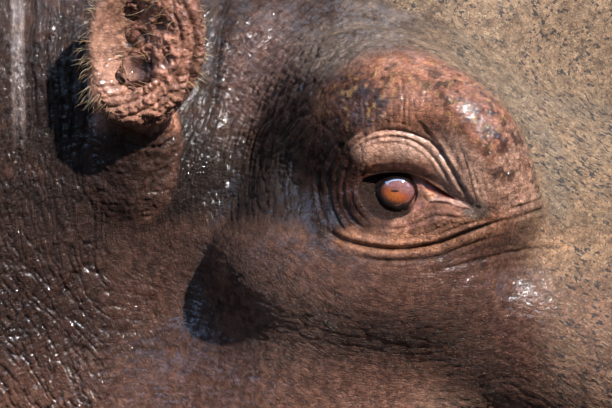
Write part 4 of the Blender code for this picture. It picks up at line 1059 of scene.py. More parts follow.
def hide_colours(p, n, u, v, z, face, ear, h, seam):
    """Base colour, wetness and dryness of the hide at each point."""
    x, y, up = p[:, 0], p[:, 1], p[:, 2]
    head = to_head(p)
    near = ramp(z, -62, -44)
    # slopes that face the middle of the head
    lean = -n[:, 1] * np.sign(y)
    inner = np.where(y > 0, ramp(lean, -0.35, 0.0), ramp(lean, 0.05, 0.30))
    big = clouds(p, 7.0, 201, 3)
    mid = clouds(p, 34.0, 202, 3)
    c = np.tile(tone(104, 82, 74), (len(p), 1))
    wet = np.full(len(p), 0.17)
    dry = np.zeros(len(p))
    # back greyer and drier, underside and the insides of the legs pink
    c = paint(c, (92, 78, 72), ramp(n[:, 2], 0.2, 0.9) * 0.8)
    c = paint(c, (166, 118, 102), ramp(n[:, 2] + 0.25 * big, -0.35, -0.85) * 0.75)
    c = paint(c, (150, 104, 90), ramp(np.abs(y), 0.24, 0.16) * ramp(up, 0.75, 0.55) * 0.6)
    c = paint(c, (122, 92, 80), ramp(up, 0.30, 0.10) * 0.5)
    c = paint(c, (128, 96, 84), ramp(big, 0.15, 0.6) * 0.5)
    c = paint(c, (78, 62, 58), ramp(big, -0.15, -0.6) * 0.5)
    # head: cheeks and jaw
    on_head = ramp(head[:, 0], -0.34, -0.16)
    c = paint(c, (126, 88, 74), on_head * 0.85)
    c = paint(c, (176, 126, 108), on_head * ramp(head[:, 2] + 0.05 * big, -0.26, -0.40) * 0.7)
    top = on_head * ramp(n[:, 2], 0.45, 0.80) * ramp(head[:, 2], -0.16, -0.06)
    c = paint(c, (146, 121, 98), top * 0.9)
    dry = np.maximum(dry, top)
    between = on_head * ramp(lean, -0.25, 0.05) * ramp(head[:, 2], -0.15, -0.06) * ramp(head[:, 0] + 0.04 * big, -0.22, -0.06)
    c = paint(c, (150, 125, 101), between * 0.92)
    dry = np.maximum(dry, between)
    # lips, muzzle
    lips = np.exp(-((head[:, 2] - mouth_height(head[:, 0])) / 0.030) ** 2) * ramp(head[:, 0], 0.02, 0.10)
    c = paint(c, (188, 134, 116), lips * (0.55 + 0.3 * mid))
    blotch = ramp(head[:, 0], 0.30, 0.42) * ramp(clouds(p, 16, 210, 3), 0.0, 0.5)
    c = paint(c, (182, 132, 116), blotch * 0.55)
    c = paint(c, (96, 72, 64), ramp(head[:, 0], 0.34, 0.46) * ramp(clouds(p, 21, 211, 3), 0.1, 0.5) * 0.55)

    # the side of the face
    f = face
    far = (1 - near) * f
    nr = near * f
    c = paint(c, (112, 76, 62), f * 0.85)
    neck = ramp(u, 118, 88)
    valley = ramp(u, 398, 330) * ramp(v, 236, 206) * (1 - neck)
    valley = np.maximum(valley, ramp(v, 66, 34) * ramp(u, 470, 396) * (1 - neck))
    # partly painted shade: the hollow between the dome and the ear has the skin's own dark grey-brown, painted darker
    # still for the shade that lies in it
    c = paint(c, (70, 50, 43), f * valley * 0.95)
    # partly painted sheen: the wet plateau behind the brow is painted pale grey, the colour of the sky's sheen on it
    c = paint(c, (142, 124, 112), f * valley * ramp(oval(u, v, 352, 38, 76, 34, -16), 1.2, 0.5) * 0.85)
    c = paint(c, (146, 116, 108), f * ramp(oval(u, v, 256, 62, 40, 74, 22), 1.15, 0.5) * 0.75)
    # painted shade: below a slanting line the hollow is painted near black, where the side of the head lies in shadow
    c = paint(c, (42, 28, 23), f * valley * ramp(v + 0.35 * (u - 280), 118, 160) * 0.85)
    c = paint(c, (48, 31, 26), f * neck * 0.97)
    c = paint(c, (88, 58, 48), f * neck * ramp(clouds(p, 60, 212, 2), 0.0, 0.4) * 0.5)
    # painted highlight: a pale strip on the wet neck behind the ear, where the wet skin shines
    strip_ = f * neck * ramp(np.abs(u - 8.0 - 0.02 * v), 9.0, 3.5) * ramp(v, 150, 90) * ramp(v, -70, -15)
    c = paint(c, (176, 160, 156), strip_ * 0.85)
    # forehead: ochre mud dried on grey
    brow_line = inside_distance(np.array(CREST), u, v)
    forehead = far * ramp(u, 372, 440) * (1 - valley * 0.6)
    c = paint(c, (146, 122, 98), forehead * 0.95)
    c = paint(c, (126, 112, 97), forehead * ramp(clouds(p, 26, 213, 3), -0.1, 0.5) * 0.75)
    c = paint(c, (166, 132, 100), forehead * ramp(clouds(p, 48, 214, 3), 0.05, 0.5) * 0.6)
    c = paint(c, (126, 112, 98), forehead * ramp(np.abs(oval(u, v, 404, 196, 152, 146) - 1.05), 0.13, 0.02) * ramp(u, 380, 420) * 0.62)
    dry = np.maximum(dry * (1 - f), forehead)
    snout = f * ramp(u, 500, 552) * ramp(v, 150, 190) * ramp(v, 330, 240) * near
    c = paint(c, (160, 126, 100), snout * 0.85)
    dry = np.maximum(dry, snout * 0.8)
    snout2 = f * ramp(u, 528, 566) * ramp(v, 110, 160) * near
    c = paint(c, (172, 138, 108), snout2 * 0.8)
    dry = np.maximum(dry, snout2)
    # dome
    dome = nr * ramp(oval(u, v, 430, 146, 118, 96, 14), 1.12, 0.88) * (1 - inner)
    c = paint(c, (178, 122, 96), dome * 0.95)
    c = paint(c, (172, 118, 96), dome * ramp(oval(u, v, 462, 118, 66, 44, 40), 1.2, 0.5) * 0.65)
    c = paint(c, (128, 78, 60), dome * ramp(mid, 0.05, 0.5) * 0.4)
    # painted shade: the left flank of the dome, which turns away from the light, is painted dark brown
    c = paint(c, (80, 48, 37), dome * ramp(oval(u, v, 342, 112, 48, 52, -30), 1.25, 0.55) * 0.85)
    flecks = dome * ramp(oval(u, v, 352, 96, 62, 34, -28), 1.3, 0.6) + dome * ramp(oval(u, v, 470, 108, 74, 26, 42), 1.3, 0.6)
    c = paint(c, (190, 150, 96), flecks * ramp(noise(p, 260, 230), 0.42, 0.60) * 0.8)
    c = paint(c, (48, 28, 22), flecks * ramp(noise(p, 240, 231), 0.30, 0.52) * 0.75)
    c = paint(c, (214, 166, 142), nr * ramp(oval(u, v, 516, 172, 48, 48, 25), 1.2, 0.7) * ramp(mid, -0.5, 0.1) * 0.85)
    c = paint(c, (74, 42, 34), nr * ramp(oval(u, v, 512, 168, 46, 44, 25), 1.2, 0.7) * ramp(clouds(p, 150, 216, 3), 0.10, 0.34) * 0.8)
    c = paint(c, (146, 121, 98), nr * inner * 0.9)
    dry = np.maximum(dry, nr * inner)
    # round the outer corner: painted shade, dark where the side of the orbit turns away from the light
    orbit = nr * ramp(oval(u, v, 334, 190, 32, 66, -2), 1.35, 0.75)
    c = paint(c, (46, 26, 19), orbit * 0.9)
    c = paint(c, (96, 58, 45), nr * ramp(oval(u, v, 352, 190, 14, 40), 1.3, 0.6) * 0.7)
    # lids
    upper = nr * ramp(oval(u, v, 405, 155, 52, 22, 12), 1.25, 0.85)
    c = paint(c, (214, 164, 140), upper * ramp(v, 172, 158) * 0.95)
    # painted light and shade: the top of the upper lid is painted paler where it faces up into the light, and the band
    # over its rim darker where it turns down into shade
    c = paint(c, (228, 188, 168), upper * ramp(v, 164, 150) * ramp(u, 374, 404) * 0.6)
    c = paint(c, (182, 126, 104), upper * ramp(v, 158, 166) * 0.8)
    fan = nr * ramp(oval(u, v, 466, 178, 16, 34, -22), 1.25, 0.7)
    c = paint(c, (232, 184, 160), nr * ramp(oval(u, v, 460, 174, 24, 44, -26), 1.25, 0.7) * 0.85)
    pouch = nr * ramp(oval(u, v, 420, 234, 84, 18, -5), 1.25, 0.8)
    c = paint(c, (186, 132, 102), pouch * 0.85)
    lower = nr * ramp(oval(u, v, 415, 218, 48, 11, -8), 1.3, 0.8)
    c = paint(c, (184, 130, 108), lower * ramp(u, 380, 410) * 0.85)
    # painted shade: dark at the lower outer corner of the eye, where the lower lid lies in shade
    c = paint(c, (72, 44, 36), nr * ramp(oval(u, v, 366, 214, 26, 14, 30), 1.3, 0.7) * 0.8)
    c = paint(c, (134, 116, 104), nr * ramp(oval(u, v, 476, 210, 13, 9), 1.4, 0.7) * 0.85)
    slit = np.full(len(p), 9.0)
    i = np.flatnonzero((f > 0.5) & (np.abs(u - 414) < 66) & (np.abs(v - 196) < 34) & (z > -50))
    slit[i] = inside_distance(FISSURE, u[i], v[i]) * STEP_MM
    rim = np.exp(-((slit - 0.4) / 0.9) ** 2)
    c = paint(c, (64, 38, 32), rim * ramp(v, 190, 178) * 0.75)
    c = paint(c, (84, 52, 42), rim * ramp(u, 410, 385) * 0.8)
    inside = ramp(slit, 0.3, -0.5)
    c = paint(c, (40, 25, 20), inside * ramp(u, 418, 406))
    c = paint(c, (178, 124, 110), inside * ramp(u, 410, 415))
    c = paint(c, (240, 176, 140), inside * ramp(oval(u, v, 428.5, 195, 8, 8), 1.2, 0.7))
    c = paint(c, (230, 184, 166), inside * ramp(np.abs(v - hermite(u, [424, 432, 444, 456], [203, 200.5, 200.5, 203])), 4.2, 1.8) * ramp(u, 427, 432))
    c = paint(c, (112, 38, 32), inside * ramp(v, hermite(u, [420, 430, 442, 460], [188, 193.5, 198, 203]), hermite(u, [420, 430, 442, 460], [184, 189, 194, 200])) * ramp(u, 422, 428))

    # below the photographed water line the cheek goes on, paler towards the jaw
    cheek = f * ramp(v, 250, 300)
    c = paint(c, (120, 84, 70), cheek * 0.7 * ramp(u, 100, 300))
    c = paint(c, (74, 52, 45), f * ramp(v, 196, 240) * ramp(u, 330, 200) * 0.75)
    c = paint(c, (150, 106, 88), f * ramp(v, 330, 430) * 0.5)

    # ears
    c = paint(c, (116, 78, 66), ear * 0.95)
    c = paint(c, (178, 134, 114), ear * ramp(u, 132, 120) * ramp(v, 116, 96) * f)
    c = paint(c, (178, 126, 106), ear * ramp(u, 122, 140) * f)
    c = paint(c, (192, 142, 120), ear * f * ramp(v, 74, 96) * ramp(v, 128, 112) * 0.7)
    c = paint(c, (92, 60, 50), ear * f * ramp(clouds(p, 120, 220, 2), 0.05, 0.4) * ramp(u, 130, 150) * 0.55)
    # painted shade: the clefts that lead into the ear are painted near black, as deep holes in shade
    for cu, cv, ru, rv in ((135, 38, 12, 8), (139, 67, 15, 17), (131, 9, 7, 10)):
        c = paint(c, (52, 22, 17), ear * f * ramp(oval(u, v, cu, cv, ru, rv, -18), 1.15, 0.7) * 0.92)
    # painted shade: the stalk under the cup, and the head round the ear's root, are painted near black for the ear's
    # shadow on them
    c = paint(c, (46, 27, 21), ear * ramp(v, 122, 138) * 0.92)
    c = paint(c, (32, 18, 14), f * (1 - ear) * ramp(oval(u, v, 150, 165, 70, 58), 1.15, 0.75) * 0.9)
    c = paint(c, (104, 70, 60), ear * ramp(u, 180, 198) * f * 0.5)

    # painted shade and light: creases darkened by their depth, ridges painted lighter
    painted_crease_shade = np.clip(-h / 2.2, 0, 1) + 0.45 * seam
    c = c * (1 - 0.42 * np.clip(painted_crease_shade, 0, 1))[:, None]
    c = c * (1 + 0.14 * np.clip(h / 1.2, 0, 1) * (1 - inside))[:, None]
    c = c * (1 + 0.13 * big + 0.10 * mid)[:, None]

    # wetness
    w = 0.45 * valley + 0.5 * ramp(oval(u, v, 482, 116, 46, 24, 48), 1.3, 0.5) + 0.45 * upper + 0.35 * fan + 0.5 * orbit + 0.35 * dome
    w = w + 0.7 * ramp(oval(u, v, 256, 62, 46, 70, 24), 1.2, 0.5) + 0.12 * neck + 0.3 * cheek + 0.9 * inside + 0.3 * ramp(v, 226, 250)
    wet = wet * (1 - f) + f * np.clip(0.12 + w, 0, 1) * (1 - 0.9 * forehead) * (1 - 0.7 * np.maximum(snout, snout2))
    wet = np.maximum(wet, ear * 0.62)
    wet = np.maximum(wet, strip_)
    wet = np.maximum(wet, inside * ramp(u, 404, 416)) * (1 - 0.45 * inside * ramp(u, 414, 402))
    socket = inside * ramp(u, 418, 406)
    wet = wet * (1 - socket) * (1 - 0.6 * f * ramp(oval(u, v, 150, 165, 74, 62), 1.15, 0.75))
    return np.clip(c, 0.002, 0.9), np.clip(wet * (1 - 0.8 * dry), 0, 1), np.clip(dry, 0, 1), inside, socket


# =====================================================================================================
# Meshes and nodes in Blender
# =====================================================================================================
def mesh_object(name, p, faces):
    """Object from points (CAD frame) and an array of triangles or quads."""
    faces = np.asarray(faces, np.int32)
    k = faces.shape[1]
    me = bpy.data.meshes.new(name)
    me.vertices.add(len(p))
    me.vertices.foreach_set("co", np.asarray(p, np.float32).ravel())
    me.loops.add(faces.size)
    me.loops.foreach_set("vertex_index", faces.ravel())
    me.polygons.add(len(faces))
    me.polygons.foreach_set("loop_start", np.arange(0, faces.size, k, dtype=np.int32))
    me.update(calc_edges=True)
    me.shade_smooth()
    obj = bpy.data.objects.new(name, me)
    bpy.context.scene.collection.objects.link(obj)
    return obj


def put(obj, name, values, kind="FLOAT"):
    a = obj.data.attributes.new(name, kind, "POINT")
    field = {"FLOAT": "value", "FLOAT_COLOR": "color", "FLOAT_VECTOR": "vector"}[kind]
    a.data.foreach_set(field, np.asarray(values, np.float32).ravel())


class Nodes:
    """A material's node tree, written as calls."""

    def __init__(self, name):
        self.mat = bpy.data.materials.new(name)
        self.mat.use_nodes = True
        self.tree = self.mat.node_tree
        self.bsdf = next(n for n in self.tree.nodes if n.type == "BSDF_PRINCIPLED")

    def add(self, kind, out=0, **settings):
        node = self.tree.nodes.new(kind)
        sockets = {}
        for key, value in settings.items():
            if hasattr(node, key) and key not in ("name",):
                setattr(node, key, value)
            else:
                sockets[key] = value
        for key, value in sockets.items():
            key = key.replace("_", " ")
            s = node.inputs[int(key[1:])] if key[0] == "i" and key[1:].isdigit() else node.inputs[key]
            if isinstance(value, bpy.types.NodeSocket):
                self.tree.links.new(value, s)
            else:
                s.default_value = value
        return node.outputs[out]

    def attribute(self, name, out="Fac"):
        return self.add("ShaderNodeAttribute", out=out, attribute_name=name)

    def math(self, op, a, b=0.0, clamp=False):
        return self.add("ShaderNodeMath", operation=op, use_clamp=clamp, i0=a, i1=b)

    def scaled(self, vector, by):
        return self.add("ShaderNodeVectorMath", operation="MULTIPLY", i0=vector, i1=by)

    def noise(self, vector, scale, detail=2.0, rough=0.5, out="Fac", distort=0.0):
        return self.add("ShaderNodeTexNoise", out=out, Vector=vector, Scale=scale, Detail=detail, Roughness=rough, Distortion=distort)

    def cells(self, vector, scale, feature="F1", out="Distance", randomness=1.0):
        return self.add("ShaderNodeTexVoronoi", out=out, feature=feature, Vector=vector, Scale=scale, Randomness=randomness)

    def span(self, value, a, b, lo=0.0, hi=1.0):
        node = self.tree.nodes.new("ShaderNodeMapRange")
        node.interpolation_type = "SMOOTHSTEP"
        for key, x in (("Value", value), ("From Min", a), ("From Max", b), ("To Min", lo), ("To Max", hi)):
            if isinstance(x, bpy.types.NodeSocket):
                self.tree.links.new(x, node.inputs[key])
            else:
                node.inputs[key].default_value = x
        return node.outputs[0]

    def mix(self, fac, a, b, how="MIX"):
        node = self.tree.nodes.new("ShaderNodeMix")
        node.data_type = "RGBA"
        node.blend_type = how
        node.clamp_factor = True
        for s, x in ((node.inputs[0], fac), (node.inputs[6], a), (node.inputs[7], b)):
            if isinstance(x, bpy.types.NodeSocket):
                self.tree.links.new(x, s)
            else:
                s.default_value = x if not isinstance(x, (tuple, list, np.ndarray)) else tuple(float(c) for c in x[:3]) + (1.0,)
        return node.outputs[2]

    def blend(self, fac, a, b):
        node = self.tree.nodes.new("ShaderNodeMix")
        node.data_type = "FLOAT"
        for s, x in ((node.inputs[0], fac), (node.inputs[2], a), (node.inputs[3], b)):
            if isinstance(x, bpy.types.NodeSocket):
                self.tree.links.new(x, s)
            else:
                s.default_value = x
        return node.outputs[0]

    def bump(self, height, distance, strength=1.0, normal=None):
        node = self.tree.nodes.new("ShaderNodeBump")
        node.inputs["Strength"].default_value = strength
        node.inputs["Distance"].default_value = distance
        self.tree.links.new(height, node.inputs["Height"])
        if normal is not None:
            self.tree.links.new(normal, node.inputs["Normal"])
        return node.outputs[0]

    def set(self, **sockets):
        for key, value in sockets.items():
            s = self.bsdf.inputs[key.replace("_", " ")]
            if isinstance(value, bpy.types.NodeSocket):
                self.tree.links.new(value, s)
            elif isinstance(value, (tuple, list, np.ndarray)) and len(s.default_value) == 4:
                s.default_value = tuple(float(c) for c in value[:3]) + (1.0,)
            else:
                s.default_value = value


def hide_material():
    m = Nodes("hippo_hide")
    place = m.add("ShaderNodeTexCoord", out="Object")
    colour, wet, dry = m.attribute("tone", "Color"), m.attribute("wet"), m.attribute("dry")
    flow = m.attribute("flow", "Vector")
    big = m.noise(place, 26, 5, 0.6)
    mid = m.noise(place, 150, 5, 0.62)
    fine = m.noise(place, 620, 4, 0.6)
    along_ = m.scaled(flow, (900.0, 170.0, 500.0))
    across_ = m.scaled(flow, (170.0, 760.0, 500.0))
    streak = m.noise(along_, 1.0, 3, 0.55, distort=0.35)
    cross = m.noise(across_, 1.0, 3, 0.55, distort=0.35)
    level = m.attribute("level", "Vector")
    whole = m.attribute("whole")
    streak = m.blend(whole, m.noise(m.scaled(level, (900.0, 170.0, 500.0)), 1.0, 3, 0.55, distort=0.35), streak)
    cross = m.blend(whole, m.noise(m.scaled(level, (170.0, 760.0, 500.0)), 1.0, 3, 0.55, distort=0.35), cross)
    polygons = m.cells(m.scaled(level, (330.0, 190.0, 200.0)), 1.0, "DISTANCE_TO_EDGE")
    # colour: mottled, the fine streaks of mud on dry places, dark specks
    c = m.mix(m.span(mid, 0.30, 0.72), m.mix(1.0, colour, (0.52, 0.47, 0.45), "MULTIPLY"), m.mix(1.0, colour, (1.34, 1.30, 1.26), "MULTIPLY"))
    c = m.mix(m.math("MULTIPLY", m.span(big, 0.48, 0.75), 0.30), c, m.mix(1.0, c, (1.7, 1.5, 1.35), "MULTIPLY"))
    c = m.mix(m.math("MULTIPLY", m.span(streak, 0.56, 0.74), m.math("MULTIPLY", dry, 0.38)), c, (0.16, 0.125, 0.10))
    c = m.mix(m.math("MULTIPLY", m.span(fine, 0.55, 0.70), m.math("MULTIPLY", dry, 0.45)), c, (0.66, 0.47, 0.30))
    specks = m.span(m.noise(m.scaled(level, (300.0, 230.0, 260.0)), 1.0, 2, 0.5), 0.66, 0.71)
    c = m.mix(m.math("MULTIPLY", specks, m.math("MULTIPLY", dry, 0.85)), c, (0.060, 0.052, 0.050))
    grit = m.span(m.noise(place, 420, 2, 0.5), 0.70, 0.74)
    c = m.mix(m.math("MULTIPLY", grit, 0.35), c, (0.55, 0.42, 0.28))
    edges = m.span(polygons, 0.02, 0.10, 1.0, 0.0)
    c = m.mix(m.math("MULTIPLY", edges, 0.34), c, (0.05, 0.035, 0.03))
    wrinkle = m.attribute("wrinkle")
    lines = []
    for scales, width in (((520.0, 62.0, 240.0), 0.060), ((75.0, 430.0, 240.0), 0.040), ((980.0, 150.0, 500.0), 0.055)):
        n = m.blend(whole, m.noise(m.scaled(level, scales), 1.0, 2, 0.5, distort=0.25), m.noise(m.scaled(flow, scales), 1.0, 2, 0.5, distort=0.25))
        lines.append(m.span(m.math("ABSOLUTE", m.math("SUBTRACT", n, 0.5)), 0.0, width, 1.0, 0.0))
    net = m.math("MAXIMUM", lines[0], m.math("MULTIPLY", lines[1], 0.7))
    net = m.math("MULTIPLY", m.math("MAXIMUM", net, m.math("MULTIPLY", lines[2], 0.6)), wrinkle)
    # painted shade: the fine wrinkle lines are darkened in the colour as well as in the bump
    c = m.mix(m.math("MULTIPLY", net, 0.68), c, m.mix(1.0, c, (0.34, 0.30, 0.30), "MULTIPLY"))
    slant = m.attribute("slant", "Vector")
    patches = m.span(m.noise(m.scaled(slant, (46.0, 60.0, 50.0)), 1.0, 2, 0.5), 0.34, 0.52)
    spots = m.span(m.noise(m.scaled(slant, (190.0, 420.0, 300.0)), 1.0, 2, 0.55), 0.565, 0.605)
    small = m.span(m.noise(m.scaled(slant, (520.0, 760.0, 600.0)), 1.0, 1, 0.5), 0.66, 0.70)
    spots = m.math("MAXIMUM", m.math("MULTIPLY", spots, patches), small)
    fibres = m.span(m.noise(m.scaled(slant, (85.0, 900.0, 500.0)), 1.0, 3, 0.6), 0.58, 0.68)
    grain_ = m.noise(m.scaled(slant, (700.0, 1100.0, 900.0)), 1.0, 3, 0.65)
    c = m.mix(m.math("MULTIPLY", fibres, m.math("MULTIPLY", dry, 0.50)), c, (0.56, 0.42, 0.26))
    c = m.mix(m.math("MULTIPLY", m.span(grain_, 0.50, 0.34), m.math("MULTIPLY", dry, 0.75)), c, (0.13, 0.10, 0.08))
    c = m.mix(m.math("MULTIPLY", spots, m.math("MULTIPLY", dry, 0.92)), c, (0.040, 0.035, 0.037))
    m.set(Base_Color=c)
    gloss = m.math("ADD", m.span(mid, 0.3, 0.75, -0.07, 0.10), m.blend(wet, 0.74, 0.17))
    film = m.span(m.noise(place, 70, 4, 0.6), 0.48, 0.60)
    gloss = m.math("SUBTRACT", gloss, m.math("MULTIPLY", m.math("MULTIPLY", film, wet), 0.10), True)
    gloss = m.math("ADD", gloss, m.math("MULTIPLY", net, 0.10), True)
    m.set(Roughness=m.math("ADD", gloss, m.math("MULTIPLY", m.attribute("matt"), 0.35), True))
    m.bsdf.inputs["Specular IOR Level"].default_value = 0.24
    m.set(Coat_Weight=m.math("MULTIPLY", m.span(m.noise(place, 95, 4, 0.62), 0.40, 0.60), m.math("MULTIPLY", wet, 1.9), True))
    m.bsdf.inputs["Coat Roughness"].default_value = 0.075
    m.bsdf.inputs["Coat IOR"].default_value = 1.6
    height = m.math("ADD", m.math("MULTIPLY", streak, 0.50), m.math("MULTIPLY", cross, 0.40))
    height = m.math("ADD", height, m.math("MULTIPLY", m.span(polygons, 0.0, 0.22), 0.22))
    b = m.bump(m.math("SUBTRACT", m.math("MULTIPLY", fibres, m.math("MULTIPLY", dry, 0.3)), net), 0.00085, 0.95)
    b = m.bump(height, 0.00060, 0.9, b)
    b = m.bump(m.math("ADD", fine, m.math("MULTIPLY", m.noise(place, 1700, 3, 0.6), 0.5)), 0.00022, 0.8, b)
    m.set(Normal=b)
    beads = m.noise(place, 330, 2, 0.55)
    m.tree.links.new(m.bump(m.math("ADD", m.math("MULTIPLY", beads, 1.2), height), 0.00060, 0.9), m.bsdf.inputs["Coat Normal"])
    return m.mat


# =====================================================================================================
# The camera and the light
# =====================================================================================================
TO_CAD = np.array((SHIFT, 0.0, 0.0))        # taken from measured places to get the CAD frame
aim = unchart(306.0, 204.0, 0.0) - TO_CAD
DISTANCE = 3.4
cam_data = bpy.data.cameras.new("camera")
cam_data.sensor_width = 36.0
cam_data.lens = 36.0 * DISTANCE / (612 * STEP_MM / 1000.0)
cam_data.clip_start, cam_data.clip_end = 0.05, 400.0
cam = bpy.data.objects.new("camera", cam_data)
cam.matrix_world = Matrix([[*map(float, row), 0.0] for row in np.stack([C_RIGHT, C_UP, C_BACK], 1)] + [[0, 0, 0, 1]])
cam.matrix_world.translation = Vector(aim + C_BACK * DISTANCE)
bpy.context.scene.collection.objects.link(cam)
bpy.context.scene.camera = cam


def towards(direction):
    """Rotation that points a lamp against this direction, from which its light comes."""
    return Vector(direction).to_track_quat("Z", "Y").to_euler()


sun_way = unit(C_RIGHT * 0.44 + C_UP * 0.61 + C_BACK * 0.72)
sun = bpy.data.lights.new("key", "SUN")
sun.energy, sun.angle, sun.color = 6.6, math.radians(1.6), (1.0, 0.965, 0.91)
sun_obj = bpy.data.objects.new("key", sun)
sun_obj.rotation_euler = towards(sun_way)
bpy.context.scene.collection.objects.link(sun_obj)

sky = bpy.data.lights.new("overhead", "AREA")
sky.shape, sky.size, sky.size_y = "RECTANGLE", 5.0, 3.0
sky.energy, sky.color = 17.0, (0.72, 0.85, 1.0)
sky_obj = bpy.data.objects.new("overhead", sky)
sky_obj.location = (0.5, 0.9, 4.2)
sky_obj.rotation_euler = towards((0.0, 0.2, 1.0))
bpy.context.scene.collection.objects.link(sky_obj)

# a strip high on the camera's side: the blue arc in the eye and the sheen on wet skin come from it
strip = bpy.data.lights.new("strip", "AREA")
strip.shape, strip.size, strip.size_y = "RECTANGLE", 6.0, 0.40
strip.energy, strip.color = 36.0, (0.38, 0.62, 1.0)
strip_way = unit(C_BACK * math.cos(math.radians(46)) + C_UP * math.sin(math.radians(46)))
strip_obj = bpy.data.objects.new("strip", strip)
strip_obj.location = Vector(EYE_FRONT - TO_CAD + strip_way * 3.0)
strip_obj.rotation_euler = towards(strip_way)
bpy.context.scene.collection.objects.link(strip_obj)
for word, side_way, lift in (("strip_fore", 1, 22), ("strip_aft", -1, 30)):
    lamp = bpy.data.lights.new(word, "AREA")
    lamp.shape, lamp.size, lamp.size_y = "RECTANGLE", 2.0, 0.7
    lamp.energy, lamp.color = 13.0, (0.30, 0.55, 1.0)
    way = unit(C_RIGHT * side_way * math.sin(math.radians(66)) * math.cos(math.radians(lift)) + C_BACK * math.cos(math.radians(66)) * math.cos(math.radians(lift)) + C_UP * math.sin(math.radians(lift)))
    lamp_obj = bpy.data.objects.new(word, lamp)
    lamp_obj.location = Vector(EYE_FRONT - TO_CAD + way * 3.2)
    lamp_obj.rotation_euler = towards(way)
    bpy.context.scene.collection.objects.link(lamp_obj)

# low on the far side: the pale sheen on the wet plateau behind the brow
rim_light = bpy.data.lights.new("strip_far", "AREA")
rim_light.shape, rim_light.size, rim_light.size_y = "RECTANGLE", 5.0, 1.4
rim_light.energy, rim_light.color = 26.0, (0.66, 0.80, 1.0)
rim_way = unit(np.array((0.05, 0.86, 0.52)))
rim_obj = bpy.data.objects.new("strip_far", rim_light)
rim_obj.location = Vector(EYE_FRONT - TO_CAD + rim_way * 3.6)
rim_obj.rotation_euler = towards(rim_way)
bpy.context.scene.collection.objects.link(rim_obj)

world = bpy.data.worlds.new("studio")
world.use_nodes = True
background = next(n for n in world.node_tree.nodes if n.type == "BACKGROUND")
background.inputs[0].default_value = (0.86, 0.90, 0.96, 1.0)
background.inputs[1].default_value = 0.075
bpy.context.scene.world = world
bpy.context.scene.view_settings.view_transform = "Standard"


def floor_material():
    m = Nodes("floor_pale")
    place = m.add("ShaderNodeTexCoord", out="Object")
    n = m.noise(place, 3.0, 4, 0.55)
    m.set(Base_Color=m.mix(n, (0.43, 0.425, 0.415), (0.47, 0.465, 0.455)), Roughness=m.span(n, 0.2, 0.8, 0.75, 0.9))
    return m.mat


ring = np.array([(math.cos(a), math.sin(a), 0.0) for a in np.linspace(0, math.tau, 65)[:-1]])
floor = mesh_object("floor", np.concatenate([[(0, 0, 0)], ring * 4.0, ring * 120.0]) - (0, 0, 0.0006),
                    np.array([(0, 1 + i, 1 + (i + 1) % 64) for i in range(64)]
                             + [(1 + i, 65 + i, 65 + (i + 1) % 64) for i in range(64)] + [(1 + i, 65 + (i + 1) % 64, 1 + (i + 1) % 64) for i in range(64)]))
floor.data.materials.append(floor_material())
floor.visible_diffuse = False          # the floor is seen and takes shadows, and sends no light up under the head
floor.visible_glossy = False           # and the wet eye doesn't mirror it


# =====================================================================================================
# The skin
# =====================================================================================================
base, tris = skin_mesh()
carved_points = carve(base)
normal = normals_of(carved_points, tris)
u, v, z = chart(carved_points)
flip = np.where(base[:, 1] > 0, -1.0, 1.0)[:, None]
facing = (normal * np.concatenate([np.ones_like(flip), flip, np.ones_like(flip)], 1)) @ C_BACK
edge = np.minimum(np.minimum(u - GU0, GU0 + GS * NU - u), np.minimum(v - GV0, GV0 + GS * NV - v))
face = ramp(facing, 0.02, 0.20) * ramp(edge, 4, 60) * ramp(carved_points[:, 0], 0.80, 0.93)
ear = on_ear(base)
near = ramp(z, -60, -42)
sheets = face_relief()
h_face = read(sheets["near"], u, v) * near + read(sheets["far"], u, v) * (1 - near)
h_ear = read(ear_relief(), u, v)
crumbs = noise(base, 120, 301) * 1.1 + np.abs(noise(base, 210, 302)) * 1.9 - np.abs(noise(base, 330, 306)) * 1.1 + noise(base, 560, 307) * 0.35
low_ear = ramp(v, 74, 92)
h_ear = h_ear + crumbs * np.maximum(ramp(u, 128, 142), 0.55 * low_ear) + (noise(base, 300, 303) * 0.22 + noise(base, 620, 308) * 0.22) * ramp(u, 140, 122)
h_ear = h_ear * ramp(facing, -0.05, 0.25) + (clouds(base, 70, 304, 2) * 0.8 - 0.6 * creased(noise(base * (1, 1, 0.35), 190, 305), 0.25)) * ramp(facing, 0.25, -0.05)
h_body, seam = body_folds(base, normal)
head = to_head(base)
on_head = ramp(head[:, 0], -0.34, -0.18)
h_head = clouds(base, 26, 311, 2) * 0.9 - 0.55 * creased(noise(base * (0.45, 1, 0.6), 95, 312), 0.18) - 0.4 * creased(noise(base * (1, 0.4, 0.7), 120, 313), 0.2)
h_rest = h_body * (1 - on_head) + h_head * on_head
# mouth, lips and nostrils
side_ = np.maximum(np.abs(head[:, 1]) - HEAD_SPREAD, 0.0)
mz = head[:, 2] - mouth_height(head[:, 0])
outer = ramp(head[:, 0], -0.005, 0.05) * ramp(np.maximum(side_ - 0.07, head[:, 0] - 0.47), 0.0, 0.03)
gap = np.exp(-(np.abs(mz) / 0.0052) ** 1.6)
h_mouth = outer * (-8.0 * gap + 1.6 * np.exp(-((np.abs(mz) - 0.014) / 0.008) ** 2))
slot = head - (0.452, 0.0, 0.0)
slot[:, 1] = side_ - 0.100
sx, sy = slot[:, 0] * 0.770 - slot[:, 1] * 0.637, slot[:, 0] * 0.637 + slot[:, 1] * 0.770
q = np.hypot(sx / 0.026, sy / 0.0085)
over = ramp(head[:, 2], -0.05, -0.03)
h_nose = over * (-15.0 * ramp(q, 1.15, 0.45) + 2.6 * np.exp(-((q - 1.75) / 0.5) ** 2))
dots = noise(base, 150, 320)
h_nose = h_nose + ramp(head[:, 0], 0.30, 0.42) * (0.5 * ramp(dots, 0.35, 0.7))
h = h_face * face * (1 - ear) + h_rest * (1 - face) * (1 - ear) + h_ear * ear + (h_mouth + h_nose) * (1 - ear)
